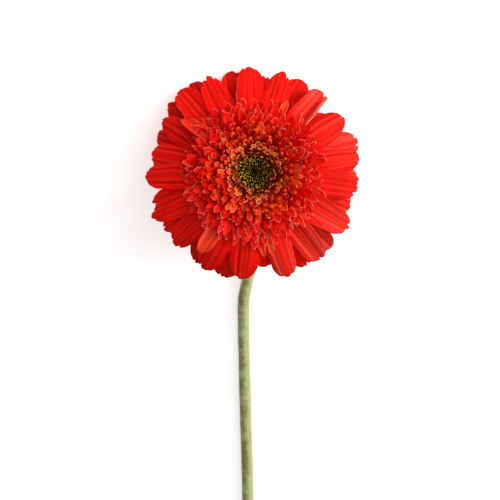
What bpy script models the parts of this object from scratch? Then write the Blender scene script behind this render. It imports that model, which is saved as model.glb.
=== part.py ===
"""A cut gerbera with a dense, double head, lying on a flat surface.

The stem lies along the surface towards -Y. Its neck turns up into the head,
which faces up and leans a little away from the stem, so that its far ray
florets rest on the surface. Metres, +Z up. The origin is the centre of the
flower's box in X and Y, on the surface.
"""

import math
import random

import bmesh
import bpy
from mathutils import Matrix, Vector

MM = 0.001

# Driving dimensions: the head, whose parts all stand on the receptacle.
HEAD_LEAN = math.radians(28.0)
SEAT_GAP = 0.3 * MM
RECEPTACLE_RADIUS = 12.2 * MM
RECEPTACLE_HEIGHT = 6.0 * MM
BOWL_DEPTH = 0.9 * RECEPTACLE_HEIGHT
BOWL_STEPS = 6
RECEPTACLE_SIDES = 36

# Driving dimensions: the eye.
EYE_FOOT_RADIUS = 4.3 * MM
EYE_FLANK = (6.7 * MM, 13.0 * MM)
EYE_RADIUS = 8.6 * MM
EYE_HEIGHT = 16.2 * MM
EYE_CROWN = 0.9 * MM
EYE_FLANK_STEPS = 4
EYE_CROWN_STEPS = 3
EYE_SIDES = 28

# Driving dimensions: ray florets, in an outer (lower) and an inner (upper) row.
RAYS_IN_ROW = 18
RAY_THICKNESS = 0.6 * MM
RAY_CLAW_WIDTH = 2.2 * MM
RAY_BLADE_WIDTH = 12.2 * MM
RAY_STEPS = 7
RAY_CROSS_STEPS = 4
RAY_WEDGE_SHARE = 0.89
RAY_CLAW_END = 11.0 * MM
RAY_CLAW_TO_BLADE = 14.0 * MM
RAY_CLAW_SPLAY = 0.4 * MM
RAY_ARCH_RADIUS = 30.0 * MM
RAY_LENGTH_RANGE = (-1.6, 0.6)
RAY_DROOP = 0.5
RAY_TWIST = 3.5
RAY_TWIST_FROM = 0.3
RAY_TWIST_OVER = 0.5
RAY_TIP_FROM = 0.72
RAY_TIP_NARROWING = 0.42
RAY_TIP_ROUNDING = 2.6 * MM
RAY_TROUGH = 0.06
RAY_TROUGH_LEVEL = 0.4

# Each row's radius at its seat, its heights at the claw, the arch and the tip, its reach, and
# its clearance over the surface, all in millimetres.
RAY_ROWS = {
    "outer": {"seat": 11.5, "lift": 15.0, "arch": 18.6, "reach": 50.0, "tip": 5.6, "floor": 0.40},
    "inner": {"seat": 10.4, "lift": 17.4, "arch": 23.4, "reach": 48.0, "tip": 9.8, "floor": 3.00},
}

# Driving dimensions: the floret rows between the eye and the rays, from the eye outwards.
CREST_ROWS = (
    "disc_row_inner",
    "disc_row_outer",
    "crest_row_4",
    "crest_row_3",
    "crest_row_2",
    "crest_row_1",
)
CREST_RADIUS = 35.0 * MM
CREST_EDGE_HEIGHT = 19.0 * MM
CREST_BULGE = 6.5 * MM
ROW_THICKNESS = 0.4 * MM
ROW_SEAT_INNER = 5.0 * MM
ROW_SEAT_OUTER = 9.5 * MM
ROW_FLANK_INNER = (7.6 * MM, 14.0 * MM)
ROW_FLANK_OUTER = (9.9 * MM, 23.5 * MM)
ROW_EYE_CLEARANCE = 2.2 * MM
ROW_SIDES = 32
ROW_STEPS = 5
SCALLOP_DEPTH = 0.10

# Driving dimensions: the involucre, two rows of bracts with pointed tips.
BRACT_ROWS = {
    "bracts_inner": {"clearance": 0.9 * MM, "rise": 2.6 * MM, "point": 0.9 * MM},
    "bracts_outer": {"clearance": 1.95 * MM, "rise": 1.2 * MM, "point": 1.6 * MM},
}
BRACT_THICKNESS = 0.6 * MM
BRACT_STEPS = 5
BRACTS_IN_ROW = 20
BRACT_EYELET_RADIUS = 4.6 * MM
BRACT_TIP_FLARE = 0.2 * MM
BRACT_VALLEY_FLARE = 0.15 * MM

# Driving dimensions: the stem.
STEM_REACH = 232.0 * MM
NECK_RADIUS = 3.2 * MM
STEM_RADIUS = 2.95 * MM
STEM_END_RADIUS = 3.1 * MM
NECK_LENGTH = 27.0 * MM
NECK_STEPS = 40
NECK_STEPS_PER_POINT = 5
STEM_STEP = 7.0 * MM
STEM_BEVEL_RESOLUTION = 4

# The stem bows out by STEM_BOW and comes half way back; each change starts at the first
# distance from the head and is complete over the second.
STEM_BOW = 4.6 * MM
STEM_BOW_BACK_SHARE = 0.5
STEM_BOW_OUT = (50.0 * MM, 35.0 * MM)
STEM_BOW_BACK = (80.0 * MM, 152.0 * MM)

SURFACE_SOFTNESS = 0.7 * MM
SURFACE_SOFT_LIMIT = 12.0
SHARP_ANGLE = math.radians(35.0)
SAME_POINT = 0.01 * MM
VARIATION_SEED = 11


def clear_scene():
    for item in list(bpy.data.objects):
        bpy.data.objects.remove(item, do_unlink=True)


def material(name, colour, roughness):
    """A Principled BSDF material with one plain finish."""
    made = bpy.data.materials.new(name)
    made.use_nodes = True
    shader = made.node_tree.nodes["Principled BSDF"]
    shader.inputs["Base Color"].default_value = (*colour, 1.0)
    shader.inputs["Roughness"].default_value = roughness
    shader.inputs["Metallic"].default_value = 0.0
    made.diffuse_color = (*colour, 1.0)
    return made


def add_empty(name, parent=None):
    empty = bpy.data.objects.new(name, None)
    bpy.context.collection.objects.link(empty)
    empty.parent = parent
    return empty


def add_object(name, bm, finish, parent, turn=0.0):
    """Turns a bmesh into a named object under parent, turned about its own Z axis."""
    mesh = bpy.data.meshes.new(name)
    bm.to_mesh(mesh)
    bm.free()
    mesh.shade_smooth()
    mesh.set_sharp_from_angle(angle=SHARP_ANGLE)
    made = bpy.data.objects.new(name, mesh)
    bpy.context.collection.objects.link(made)
    made.data.materials.append(finish)
    made.parent = parent
    made.rotation_euler.z = turn
    return made


def thicken(item, thickness):
    """Gives a sheet its thickness, half on each side."""
    shell = item.modifiers.new("thickness", "SOLIDIFY")
    shell.thickness = thickness
    shell.offset = 0.0
    shell.use_even_offset = True


def bezier(points, t):
    """The point at t on a Bezier curve of any degree."""
    work = [Vector(p) for p in points]
    while len(work) > 1:
        work = [a.lerp(b, t) for a, b in zip(work, work[1:])]
    return work[0]


def smoothstep(t):
    """A soft step from 0 to 1 as t goes from 0 to 1."""
    t = min(max(t, 0.0), 1.0)
    return t * t * (3.0 - 2.0 * t)


def turned_solid(profile, sides):
    """A closed solid of revolution about Z, from a profile of (radius, height) pairs."""
    bm = bmesh.new()
    verts = [bm.verts.new((r, 0.0, h)) for r, h in profile]
    for a, b in zip(verts, verts[1:]):
        bm.edges.new((a, b))
    bmesh.ops.spin(
        bm, geom=bm.verts[:] + bm.edges[:], cent=(0, 0, 0), axis=(0, 0, 1),
        angle=math.tau, steps=sides, use_merge=True,
    )
    bmesh.ops.remove_doubles(bm, verts=bm.verts, dist=SAME_POINT)
    bmesh.ops.recalc_face_normals(bm, faces=bm.faces)
    return bm


def notch_rim(bm, rim, sides, move):
    """Moves every other point of the rim circle, which has the given (radius, height)."""
    for vert in bm.verts:
        flat = math.hypot(vert.co.x, vert.co.y)
        if abs(flat - rim[0]) > SAME_POINT or abs(vert.co.z - rim[1]) > SAME_POINT:
            continue
        step = round(math.atan2(vert.co.y, vert.co.x) / math.tau * sides)
        if step % 2:
            radius, height = move
            vert.co = Vector((vert.co.x / flat * radius, vert.co.y / flat * radius, height))


# --- the head -------------------------------------------------------------------------


def add_receptacle(head, finish):
    """The fleshy bowl on top of the stem, with the flat seat of all the florets."""
    profile = [(0.0, 0.0)]
    for step in range(BOWL_STEPS + 1):
        angle = math.pi / 2 * step / BOWL_STEPS
        radius = NECK_RADIUS + (RECEPTACLE_RADIUS - NECK_RADIUS) * math.sin(angle)
        profile.append((radius, BOWL_DEPTH * (1.0 - math.cos(angle))))
    profile.append((RECEPTACLE_RADIUS, RECEPTACLE_HEIGHT))
    profile.append((0.0, RECEPTACLE_HEIGHT))
    return add_object("receptacle", turned_solid(profile, RECEPTACLE_SIDES), finish, head)


def add_bract_row(name, sizes, head, finish):
    """One row of green bracts: a cup round the receptacle with a pointed rim."""
    clearance = sizes["clearance"]
    across = RECEPTACLE_RADIUS - NECK_RADIUS + clearance
    deep = BOWL_DEPTH + clearance
    first = math.asin((BRACT_EYELET_RADIUS - NECK_RADIUS) / across)
    profile = []
    for step in range(BRACT_STEPS + 1):
        angle = first + (math.pi / 2 - first) * step / BRACT_STEPS
        radius = NECK_RADIUS + across * math.sin(angle)
        profile.append((radius, BOWL_DEPTH - deep * math.cos(angle)))
    edge, shoulder = profile[-1]
    rim = (edge + BRACT_TIP_FLARE, shoulder + sizes["rise"] + sizes["point"])
    valley = (edge + BRACT_VALLEY_FLARE, shoulder + sizes["rise"])
    profile.append(rim)
    bm = turned_solid(profile, BRACTS_IN_ROW * 2)
    notch_rim(bm, rim, BRACTS_IN_ROW * 2, valley)
    row = add_object(name, bm, finish, head)
    thicken(row, BRACT_THICKNESS)
    return row


def crest_point(share, t):
    """A point (radius, height) in the florets between the eye (share 0) and the rays (share 1).

    t runs from the florets' seat on the receptacle to their tips.
    """
    seat = RECEPTACLE_HEIGHT + SEAT_GAP
    inner_tip = (EYE_RADIUS + ROW_EYE_CLEARANCE, CREST_EDGE_HEIGHT)
    outer_tip = (CREST_RADIUS, CREST_EDGE_HEIGHT)
    inner = bezier([(ROW_SEAT_INNER, seat), ROW_FLANK_INNER, inner_tip], t)
    outer = bezier([(ROW_SEAT_OUTER, seat), ROW_FLANK_OUTER, outer_tip], t)
    point = inner.lerp(outer, share)
    bulge = CREST_BULGE * 4.0 * share * (1.0 - share) * t * t
    return point.x, point.y + bulge


def add_floret_row(name, share, head, finish):
    """A full ring of florets, as one flared cup with a scalloped rim."""
    profile = [crest_point(share, step / ROW_STEPS) for step in range(ROW_STEPS + 1)]
    bm = turned_solid(profile, ROW_SIDES)
    notch_rim(bm, profile[-1], ROW_SIDES, crest_point(share, 1.0 - SCALLOP_DEPTH))
    row = add_object(name, bm, finish, head)
    thicken(row, ROW_THICKNESS)
    return row


def add_eye(head, finish):
    """The disc of closed buds in the middle, which narrows to its seat."""
    seat = RECEPTACLE_HEIGHT + SEAT_GAP
    side = [(EYE_FOOT_RADIUS, seat), EYE_FLANK, (EYE_RADIUS, EYE_HEIGHT)]
    profile = [(0.0, seat)]
    for step in range(EYE_FLANK_STEPS + 1):
        profile.append(tuple(bezier(side, step / EYE_FLANK_STEPS)))
    for step in range(1, EYE_CROWN_STEPS + 1):
        angle = math.pi / 2 * step / EYE_CROWN_STEPS
        profile.append((EYE_RADIUS * math.cos(angle), EYE_HEIGHT + EYE_CROWN * math.sin(angle)))
    return add_object("disc_eye", turned_solid(profile, EYE_SIDES), finish, head)


def ray_width(radius):
    """A ray floret's width at a distance from the head's axis: a narrow claw, then the blade."""
    wedge = 2.0 * radius * math.tan(math.pi / RAYS_IN_ROW) * RAY_WEDGE_SHARE
    opening = smoothstep((radius - RAY_CLAW_END) / RAY_CLAW_TO_BLADE)
    return RAY_CLAW_WIDTH * (1.0 - opening) + min(wedge, RAY_BLADE_WIDTH) * opening


def rest_on_surface(item_matrix, point, clearance):
    """Lifts a point of the head that would sink below the surface, softly."""
    world = item_matrix @ point
    over = (world.z - clearance) / SURFACE_SOFTNESS
    if over < SURFACE_SOFT_LIMIT:
        world.z = clearance + SURFACE_SOFTNESS * math.log1p(math.exp(over))
    return item_matrix.inverted() @ world


def add_ray(name, row, azimuth, head_matrix, head, finish, dice):
    """One ray floret: a thin petal on a narrow claw, arched outwards and rounded at its tip."""
    length = dice.uniform(*RAY_LENGTH_RANGE)
    droop = dice.uniform(-RAY_DROOP, RAY_DROOP)
    twist = math.radians(dice.uniform(-RAY_TWIST, RAY_TWIST))
    seat = row["seat"] * MM
    spine = [
        (seat, RECEPTACLE_HEIGHT + SEAT_GAP),
        (seat + RAY_CLAW_SPLAY, row["lift"] * MM),
        (RAY_ARCH_RADIUS, row["arch"] * MM),
        ((row["reach"] + length) * MM, (row["tip"] + droop) * MM),
    ]
    matrix = head_matrix @ Matrix.Rotation(azimuth, 4, "Z")
    bm = bmesh.new()
    bmesh.ops.create_grid(bm, x_segments=RAY_STEPS, y_segments=RAY_CROSS_STEPS, size=1.0)
    for vert in bm.verts:
        along = (vert.co.x + 1.0) / 2.0
        across = vert.co.y
        radius, height = bezier(spine, along)
        width = ray_width(radius)
        rounding = smoothstep((along - RAY_TIP_FROM) / (1.0 - RAY_TIP_FROM))
        width *= 1.0 - RAY_TIP_NARROWING * rounding
        radius -= RAY_TIP_ROUNDING * rounding * across * across
        side = across * width / 2.0
        trough = RAY_TROUGH * width * (across * across - RAY_TROUGH_LEVEL) * smoothstep(along * 2.0)
        twisting = smoothstep((along - RAY_TWIST_FROM) / RAY_TWIST_OVER)
        height += trough + side * math.sin(twist) * twisting
        point = Vector((radius, side, height))
        vert.co = rest_on_surface(matrix, point, row["floor"] * MM)
    bmesh.ops.recalc_face_normals(bm, faces=bm.faces)
    ray = add_object(name, bm, finish, head, azimuth)
    thicken(ray, RAY_THICKNESS)
    return ray


def add_rays(head_matrix, head, finishes):
    """Two full rows of ray florets; the inner row stands between and above the outer one."""
    dice = random.Random(VARIATION_SEED)
    made = []
    for row_name, row in RAY_ROWS.items():
        stagger = 0.5 if row_name == "outer" else 0.0
        for number in range(RAYS_IN_ROW):
            azimuth = math.pi / 2 + (number + stagger) * math.tau / RAYS_IN_ROW
            name = f"ray_{row_name}_{number + 1:02d}"
            made.append(add_ray(name, row, azimuth, head_matrix, head, finishes[row_name], dice))
    return made


# --- the stem -------------------------------------------------------------------------


def stem_radius(distance):
    """The stem's radius at a distance from the head, down the stem."""
    narrowing = NECK_LENGTH * 2
    if distance < narrowing:
        return NECK_RADIUS + (STEM_RADIUS - NECK_RADIUS) * smoothstep(distance / narrowing)
    share = (distance - narrowing) / (STEM_REACH - narrowing)
    return STEM_RADIUS + (STEM_END_RADIUS - STEM_RADIUS) * min(share, 1.0)


def stem_bow(distance):
    """How far the stem bows to -X at a distance from the head."""
    out = smoothstep((distance - STEM_BOW_OUT[0]) / STEM_BOW_OUT[1])
    back = smoothstep((distance - STEM_BOW_BACK[0]) / STEM_BOW_BACK[1])
    return -STEM_BOW * (out - STEM_BOW_BACK_SHARE * back)


def neck_path():
    """Points (backwards, down) from the head's base to where the stem lies level.

    The neck leaves the head along its axis and turns smoothly until it is level.
    """
    turn = math.pi / 2 - HEAD_LEAN
    length = NECK_LENGTH / NECK_STEPS
    points = [(0.0, 0.0)]
    for step in range(NECK_STEPS):
        angle = turn * (1.0 - smoothstep((step + 0.5) / NECK_STEPS))
        back, down = points[-1]
        points.append((back + math.cos(angle) * length, down + math.sin(angle) * length))
    return points


def add_stem(head_base, root, finish):
    """The stem: a tapered round tube from the head's base down the neck and along the surface."""
    axis = Vector((0.0, math.sin(HEAD_LEAN), math.cos(HEAD_LEAN)))
    top = head_base - axis * SEAT_GAP
    neck = neck_path()[::NECK_STEPS_PER_POINT]
    path = [top - Vector((0.0, back, down)) for back, down in neck]
    level_y = path[-1].y
    count = round((STEM_REACH + level_y) / STEM_STEP)
    for step in range(1, count + 1):
        y = level_y - (STEM_REACH + level_y) * step / count
        path.append(Vector((0.0, y, 0.0)))
    curve = bpy.data.curves.new("stem", "CURVE")
    curve.dimensions = "3D"
    curve.bevel_depth = 1.0
    curve.bevel_resolution = STEM_BEVEL_RESOLUTION
    curve.use_fill_caps = True
    spline = curve.splines.new("POLY")
    spline.points.add(len(path) - 1)
    for index, point in enumerate(path):
        distance = -point.y
        radius = stem_radius(distance)
        point.x = stem_bow(distance)
        point.z = max(point.z, radius)
        spline.points[index].co = (*point, 1.0)
        spline.points[index].radius = radius
    curve.materials.append(finish)
    stem = bpy.data.objects.new("stem", curve)
    bpy.context.collection.objects.link(stem)
    stem.parent = root
    return stem


# --- the whole flower -----------------------------------------------------------------


def stand_over_origin(root):
    """Moves the flower, so that the middle of its box's underside is the origin."""
    bpy.context.view_layer.update()
    graph = bpy.context.evaluated_depsgraph_get()
    corners = []
    for item in bpy.context.scene.objects:
        if item.type == "EMPTY":
            continue
        shaped = item.evaluated_get(graph)
        mesh = shaped.to_mesh()
        corners += [shaped.matrix_world @ vert.co for vert in mesh.vertices]
        shaped.to_mesh_clear()
    low = [min(corner[axis] for corner in corners) for axis in range(3)]
    high = [max(corner[axis] for corner in corners) for axis in range(3)]
    root.location = (-(low[0] + high[0]) / 2.0, -(low[1] + high[1]) / 2.0, -low[2])


def main():
    clear_scene()
    ray_finish = {
        "outer": material("ray_red_deep", (0.60, 0.006, 0.004), 0.45),
        "inner": material("ray_red", (0.72, 0.010, 0.006), 0.45),
    }
    crest_finish = material("crest_red", (0.70, 0.045, 0.015), 0.5)
    disc_finish = material("disc_gold", (0.75, 0.22, 0.03), 0.5)
    eye_finish = material("eye_green", (0.05, 0.05, 0.01), 0.6)
    bract_finish = material("bract_green", (0.16, 0.24, 0.06), 0.6)
    stem_finish = material("stem_green", (0.30, 0.36, 0.13), 0.6)

    neck_drop = neck_path()[-1][1]
    head_base = Vector((0.0, 0.0, neck_drop + STEM_RADIUS + SEAT_GAP * math.cos(HEAD_LEAN)))
    root = add_empty("flower")
    head = add_empty("head", root)
    head.location = head_base
    head.rotation_euler.x = -HEAD_LEAN
    head_matrix = Matrix.Translation(head_base) @ Matrix.Rotation(-HEAD_LEAN, 4, "X")

    add_receptacle(head, bract_finish)
    for name, sizes in BRACT_ROWS.items():
        add_bract_row(name, sizes, head, bract_finish)
    add_rays(head_matrix, head, ray_finish)
    for number, name in enumerate(CREST_ROWS):
        share = number / (len(CREST_ROWS) - 1)
        add_floret_row(name, share, head, disc_finish if name.startswith("disc") else crest_finish)
    add_eye(head, eye_finish)
    add_stem(head_base, root, stem_finish)
    stand_over_origin(root)


main()
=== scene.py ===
"""A cut gerbera with a dense double head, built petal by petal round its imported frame.

Every piece is made in the head's own space (Z along the head's axis, the origin
in the middle of the florets' seat) or along the stem's route, and is then placed
in its mesh, so that each finished object sits at the origin.
"""

import math
import random

import bpy
import numpy as np
from bpy.props import FloatProperty, FloatVectorProperty, IntProperty, PointerProperty
from bpy.types import Operator, Panel, PropertyGroup
from mathutils import Matrix, Vector


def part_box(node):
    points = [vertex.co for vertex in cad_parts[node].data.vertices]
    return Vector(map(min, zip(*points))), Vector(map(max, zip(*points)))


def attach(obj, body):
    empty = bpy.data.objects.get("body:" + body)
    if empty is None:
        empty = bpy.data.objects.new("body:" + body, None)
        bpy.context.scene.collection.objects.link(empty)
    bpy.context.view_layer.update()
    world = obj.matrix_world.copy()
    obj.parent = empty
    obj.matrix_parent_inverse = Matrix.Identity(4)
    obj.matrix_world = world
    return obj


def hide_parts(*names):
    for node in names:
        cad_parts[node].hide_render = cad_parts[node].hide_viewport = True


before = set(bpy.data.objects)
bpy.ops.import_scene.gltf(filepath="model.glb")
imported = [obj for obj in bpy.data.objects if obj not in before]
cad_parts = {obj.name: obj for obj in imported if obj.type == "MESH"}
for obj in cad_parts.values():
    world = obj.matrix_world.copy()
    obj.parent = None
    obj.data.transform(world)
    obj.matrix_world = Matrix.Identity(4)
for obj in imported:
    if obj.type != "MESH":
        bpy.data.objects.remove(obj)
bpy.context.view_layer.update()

bl_info = {
    "name": "Cut Gerbera",
    "version": (1, 0, 0),
    "blender": (4, 5, 0),
    "location": "View3D > Sidebar > Gerbera",
    "description": "Builds a lying cut gerbera, petal by petal, round its packed frame",
    "category": "Add Mesh",
}

MM = 0.001
BODY = "root"
WHITE = (1.0, 1.0, 1.0)

# The florets' seat is the receptacle's flat top, and heights are measured from it.
SAME_WAY = math.cos(math.radians(1.5))
SEAT_GAP = 0.3 * MM
RECEPTACLE_DEPTH = 6.0 * MM
RECEPTACLE_RADIUS = 12.2 * MM
NECK_RADIUS = 3.2 * MM
# How softly a petal bends where it meets the surface.
SETTLING = 0.7 * MM
# The small florets' feet and tips, next to the eye and next to the rays.
CREST_SEAT = (5.0 * MM, 9.5 * MM)
CREST_RIM = (10.8 * MM, 35.0 * MM)
CREST_EDGE = 13.0 * MM
CREST_CROWN = 6.5 * MM
# The eye's buds; the eye lies a little to one side of the head's axis.
BUDS_RADIUS = 6.45 * MM
BUDS_HEIGHT = 7.8 * MM
BUD_LENGTH = 4.0 * MM
EYE_SHIFT = 0.9 * MM
GOLDEN_ANGLE = math.pi * (3.0 - math.sqrt(5.0))

# A ray floret: its narrow claw's width, how far from the head's axis the claw opens into the
# blade, and how much wider than its place in the row the blade may be.
RAYS_IN_ROW = 18
CLAW_WIDTH = 2.2 * MM
CLAW_TO_BLADE = (11.0 * MM, 27.0 * MM)
NEIGHBOUR_OVERLAP = 1.15
# Widths and places across a ray floret, as shares of its half width.
TOOTH_WIDTH = 0.055
GROOVE_WIDTH = 0.13
RIDGE_WIDTH = 0.055
RIDGE_FROM_GROOVE = 0.16
# Its relief: a ridge as a share of the groove's depth, fine lines, frayed tip, ruffled edge.
RIDGE_SHARE = 0.30
FINE_LINES = 0.04 * MM
FRAYING = 0.06 * MM
RUFFLED_EDGE = 0.6 * MM
# The ray florets' spines: lengths in mm from the head's axis and above the seat. floor is
# the clearance over the surface in mm, and wide a share of the blade's width.
RAY_ROWS = {
    "outer": {
        "seat": 11.5, "lift": 9.0, "shoulder": 30.0, "arch": 12.6, "tip": -0.6, "floor": 0.25, "wide": 1.0,
    },
    "inner": {
        "seat": 10.4, "lift": 11.4, "shoulder": 30.0, "arch": 17.4, "tip": 3.6, "floor": 1.6, "wide": 0.94,
    },
}
# Where each ray floret's tip lies: degrees round the head and mm from its axis.
RAY_TIPS = {
    "outer": (
        (103, 50.4), (122, 51.9), (141, 52.3), (158, 49.0), (176, 47.6), (195, 50.4),
        (213, 50.9), (237, 51.4), (253, 52.3), (278, 45.8), (300, 51.9), (316, 52.3),
        (340, 49.9), (356, 51.4), (16, 52.8), (37, 45.4), (61, 50.4), (83, 46.8),
    ),
    "inner": (
        (92, 50.9), (114, 50.9), (131, 52.4), (148, 50.0), (168, 49.0), (183, 51.4),
        (205, 52.8), (223, 50.9), (243, 51.9), (263, 51.4), (290, 52.8), (307, 52.8),
        (331, 53.3), (351, 50.9), (6, 51.4), (29, 50.9), (50, 50.9), (73, 50.4),
    ),
}
# Ray florets with a character of their own. wide is a share of the usual width; cup, roll
# and fold are slopes in radians of the whole blade, one edge and one half; the tip's painted
# light and pale are how much of that painted light, a light salmon on the rays on the key
# light's side, and of the pale edge shows. A side of 1 is the left one, seen from the eye,
# and -1 the right one.
RAY_CHARACTERS = {
    "inner_17": {"roll": 1.9, "roll_side": -1.0, "cup": 0.25, "bleach": 0.55},
    "inner_10": {"wide": 1.12, "cup": -0.1},
    "inner_16": {"wide": 1.1, "cup": -0.3, "bleach": 0.15},
    "inner_15": {"bleach": 0.12},
    "inner_14": {"bleach": 0.1},
    "inner_13": {"bleach": 0.35, "cup": 0.1},
    "inner_12": {"bleach": 0.4, "fold": 0.5, "fold_side": 1.0},
    "inner_11": {"bleach": 0.3},
    "inner_01": {"pale": 1.4, "pale_side": 1.0},
    "inner_18": {"pale": 1.0, "pale_side": 1.0},
    "inner_02": {"roll": 0.9, "roll_side": 1.0, "pale": 1.0, "pale_side": -1.0},
    "inner_08": {"roll": 0.8, "roll_side": -1.0},
    "outer_16": {"bleach": 0.6},
    "outer_15": {"roll": 2.2, "roll_side": -1.0, "bleach": 0.5},
    "outer_14": {"bleach": 0.5},
    "outer_13": {"bleach": 0.35},
    "outer_12": {"bleach": 0.6, "fold": 0.6, "fold_side": 1.0},
    "outer_06": {"wide": 0.75},
}
# Crest petals that stand out over the rays: what they share, and then each one's degrees
# round the head, reach and tip height in mm, share of a ray's width, cup, fold, paleness of
# the sides and twist towards the light.
STANDING_ROW = {"seat": 9.7, "lift": 17.0, "shoulder": 24.0, "arch": 17.5, "floor": 1.0, "wide": 1.0}
STANDING_SHAPE = {"droop": 0.0, "layer": 0.0, "bend": 0.0, "tone": 0.9, "point": 1.8, "pale_side": 0.0}
STANDING_THICKNESS = 0.28 * MM
STANDING_LABELS = "degrees reach tip wide cup fold pale twist".split()
STANDING_PETALS = (
    (143.5, 42.5, 13.0, 0.66, 0.45, 0.5, 0.1, 0.4), (236.5, 47.0, 8.5, 0.60, 0.15, 0.3, 0.05, -0.5),
    (278.0, 41.2, 10.5, 0.27, 0.70, 0.0, 0.8, 0.0), (283.5, 41.0, 10.0, 0.25, 0.60, 0.3, 0.8, 0.0),
    (146.0, 32.0, 16.5, 0.42, 0.50, 0.2, 0.6, 0.4), (64.0, 38.0, 12.0, 0.32, 0.40, 0.2, 0.5, 0.0),
)

# The small florets: the tube's width, how far before the tip it opens into the lip, and how
# far a floret may turn, as a share of the way to the next one.
TUBE_WIDTH = 1.1 * MM
TUBE_TO_LIP = (14.0 * MM, 4.0 * MM)
TURN_SHARE = 0.38
# Their looks. Lengths are in mm, curls, cups and tilts in radians; a tip's rounding, point
# and narrowing are shares of its width.
LOOK_LABELS = "longer width narrow round point cup curl curl_length rim thick tilt spread".split()
FLORET_LOOKS = {
    "scale": (0.6, 4.0, 0.1, 0.16, 0.36, 0.64, 0.65, 5.0, 0.38, 0.24, 0.045, 0.04),
    "wedge": (0.2, 3.8, 0.15, 0.06, 0.6, 0.8, 0.75, 5.0, 0.38, 0.24, 0.05, 0.05),
    "hood": (2.2, 3.3, 0.35, 0.5, 0.0, 1.3, 2.1, 4.2, 0.3, 0.26, 0.06, 0.05),
    "bud": (1.8, 2.9, 0.4, 0.5, 0.0, 1.5, 2.0, 3.7, 0.3, 0.26, 0.06, 0.05),
    "lip": (0.3, 2.9, 0.0, 0.25, 0.2, 0.95, 0.3, 6.0, 0.4, 0.26, 0.05, 0.04),
    "gold": (1.0, 2.1, 0.3, 0.5, 0.2, 0.9, 0.9, 4.0, 0.4, 0.26, 0.09, 0.07),
    "leaning": (1.6, 1.9, 0.3, 0.3, 0.5, 1.0, 1.05, 4.5, 0.35, 0.26, 0.10, 0.08),
}
# Their finishes: the colours of foot, body, tip and rim, the rim's strength, where along the
# floret the tip's colour starts and the foot's ends, how fine the patches are, and how much
# of the rim runs right round the tip. The foot's colour is painted shade, darker where the
# florets stand close together, and the disc's cream rims are painted glints.
FLORET_FINISHES = {
    "crest_scarlet": {"colours": "foot body tip rim", "rim": 0.9, "tip_from": 0.45, "foot_to": 0.42,
                      "patches": 160.0, "whole": 0.08},
    "crest_orange": {"colours": "foot body knob rim", "rim": 0.9, "tip_from": 0.15, "foot_to": 0.42,
                     "patches": 160.0, "whole": 0.0},
    "disc_golden": {"colours": "brown amber gold cream", "rim": 1.0, "tip_from": 0.45, "foot_to": 0.72,
                    "patches": 300.0, "whole": 0.6},
    "disc_ruddy": {"colours": "brown body knob cream", "rim": 1.0, "tip_from": 0.4, "foot_to": 0.6,
                   "patches": 300.0, "whole": 0.8},
}
# Their rings: name, radius at the tips in mm, florets, two looks, node and finish.
CREST_RINGS = (
    ("crest_ring_1", 34.9, 56, "scale wedge", "crest_row_1", "crest_scarlet"),
    ("crest_ring_2", 32.9, 56, "scale wedge", "crest_row_1", "crest_scarlet"),
    ("crest_ring_3", 30.9, 54, "wedge scale", "crest_row_2", "crest_scarlet"),
    ("crest_ring_4", 28.9, 51, "scale wedge", "crest_row_2", "crest_scarlet"),
    ("crest_ring_5", 26.8, 49, "scale hood", "crest_row_3", "crest_scarlet"),
    ("crest_ring_6", 24.7, 46, "hood scale", "crest_row_3", "crest_orange"),
    ("crest_ring_7", 22.6, 43, "hood lip", "crest_row_4", "crest_orange"),
    ("crest_ring_8", 20.4, 39, "hood bud", "crest_row_4", "crest_orange"),
    ("crest_ring_9", 18.3, 35, "lip bud", "crest_row_4", "crest_orange"),
)
DISC_RINGS = (
    ("disc_ring_1", 16.2, 32, "lip gold", "disc_row_outer", "disc_ruddy"),
    ("disc_ring_2", 14.7, 30, "lip leaning", "disc_row_outer", "disc_golden"),
    ("disc_ring_3", 13.2, 28, "gold leaning", "disc_row_inner", "disc_golden"),
    ("disc_ring_4", 12.0, 26, "leaning gold", "disc_row_inner", "disc_golden"),
    ("disc_ring_5", 10.9, 22, "leaning gold", "disc_row_inner", "disc_golden"),
    ("disc_ring_6", 9.9, 13, "leaning leaning", "disc_row_inner", "disc_golden"),
)
# The bracts' rings: name, node, then in mm how far the bracts stand off the receptacle, how
# far their tips flare, their tips' height and their width.
BRACT_RINGS = (
    ("bract_ring_inner", "bracts_inner", {"clear": 0.7, "flare": 1.6, "tip": 3.6, "width": 4.9}),
    ("bract_ring_middle", "bracts_outer", {"clear": 1.3, "flare": 1.9, "tip": 1.6, "width": 4.6}),
    ("bract_ring_outer", "bracts_outer", {"clear": 1.9, "flare": 2.1, "tip": -0.9, "width": 4.0}),
)

# The stem swells under the cup, over a short length.
NECK_SWELL = 0.9 * MM
SWELL_LENGTH = 5.0 * MM
# Its route: steps in the neck and in the level part, where the bow starts and ends in
# mm from the head, the share of the bow that goes back, and the gap under the ribs.
NECK_STEPS = 40
LEVEL_STEPS = 90
BOW_OUT = (50.0, 85.0)
BOW_BACK = (80.0, 232.0)
BOW_BACK_SHARE = 0.5
STEM_CLEARANCE = 0.16 * MM
# The cut end's lid: mm beyond the end and share of the radius.
STEM_LID = ((0.06, 0.97), (0.10, 0.9), (0.13, 0.7), (0.15, 0.4), (0.16, 0.1))

# The stage. Lights stand to the side, along the head's axis and up, in metres; the camera's
# aim lies below and beside the head by shares of the view's width.
FLOOR_HALF = 3.0
LIGHTS = {
    "key": {"place": (0.8, 0.52, 0.12), "size": 0.4},
    "fill": {"place": (0.35, 0.9, 0.1), "size": 0.8},
}
AIM_HEIGHT = 12.0 * MM
AIM_BELOW = 0.155
AIM_BESIDE = 0.005


# --- small tools ------------------------------------------------------------------------


def smooth(low, high, value):
    """A smooth step from 0 at low to 1 at high, for numbers or arrays."""
    t = np.clip((np.asarray(value, float) - low) / (high - low), 0.0, 1.0)
    return t * t * (3.0 - 2.0 * t)


def bell(distance, width):
    """A bell curve that is 1 where the distance is 0."""
    return np.exp(-((distance / width) ** 2))


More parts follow.
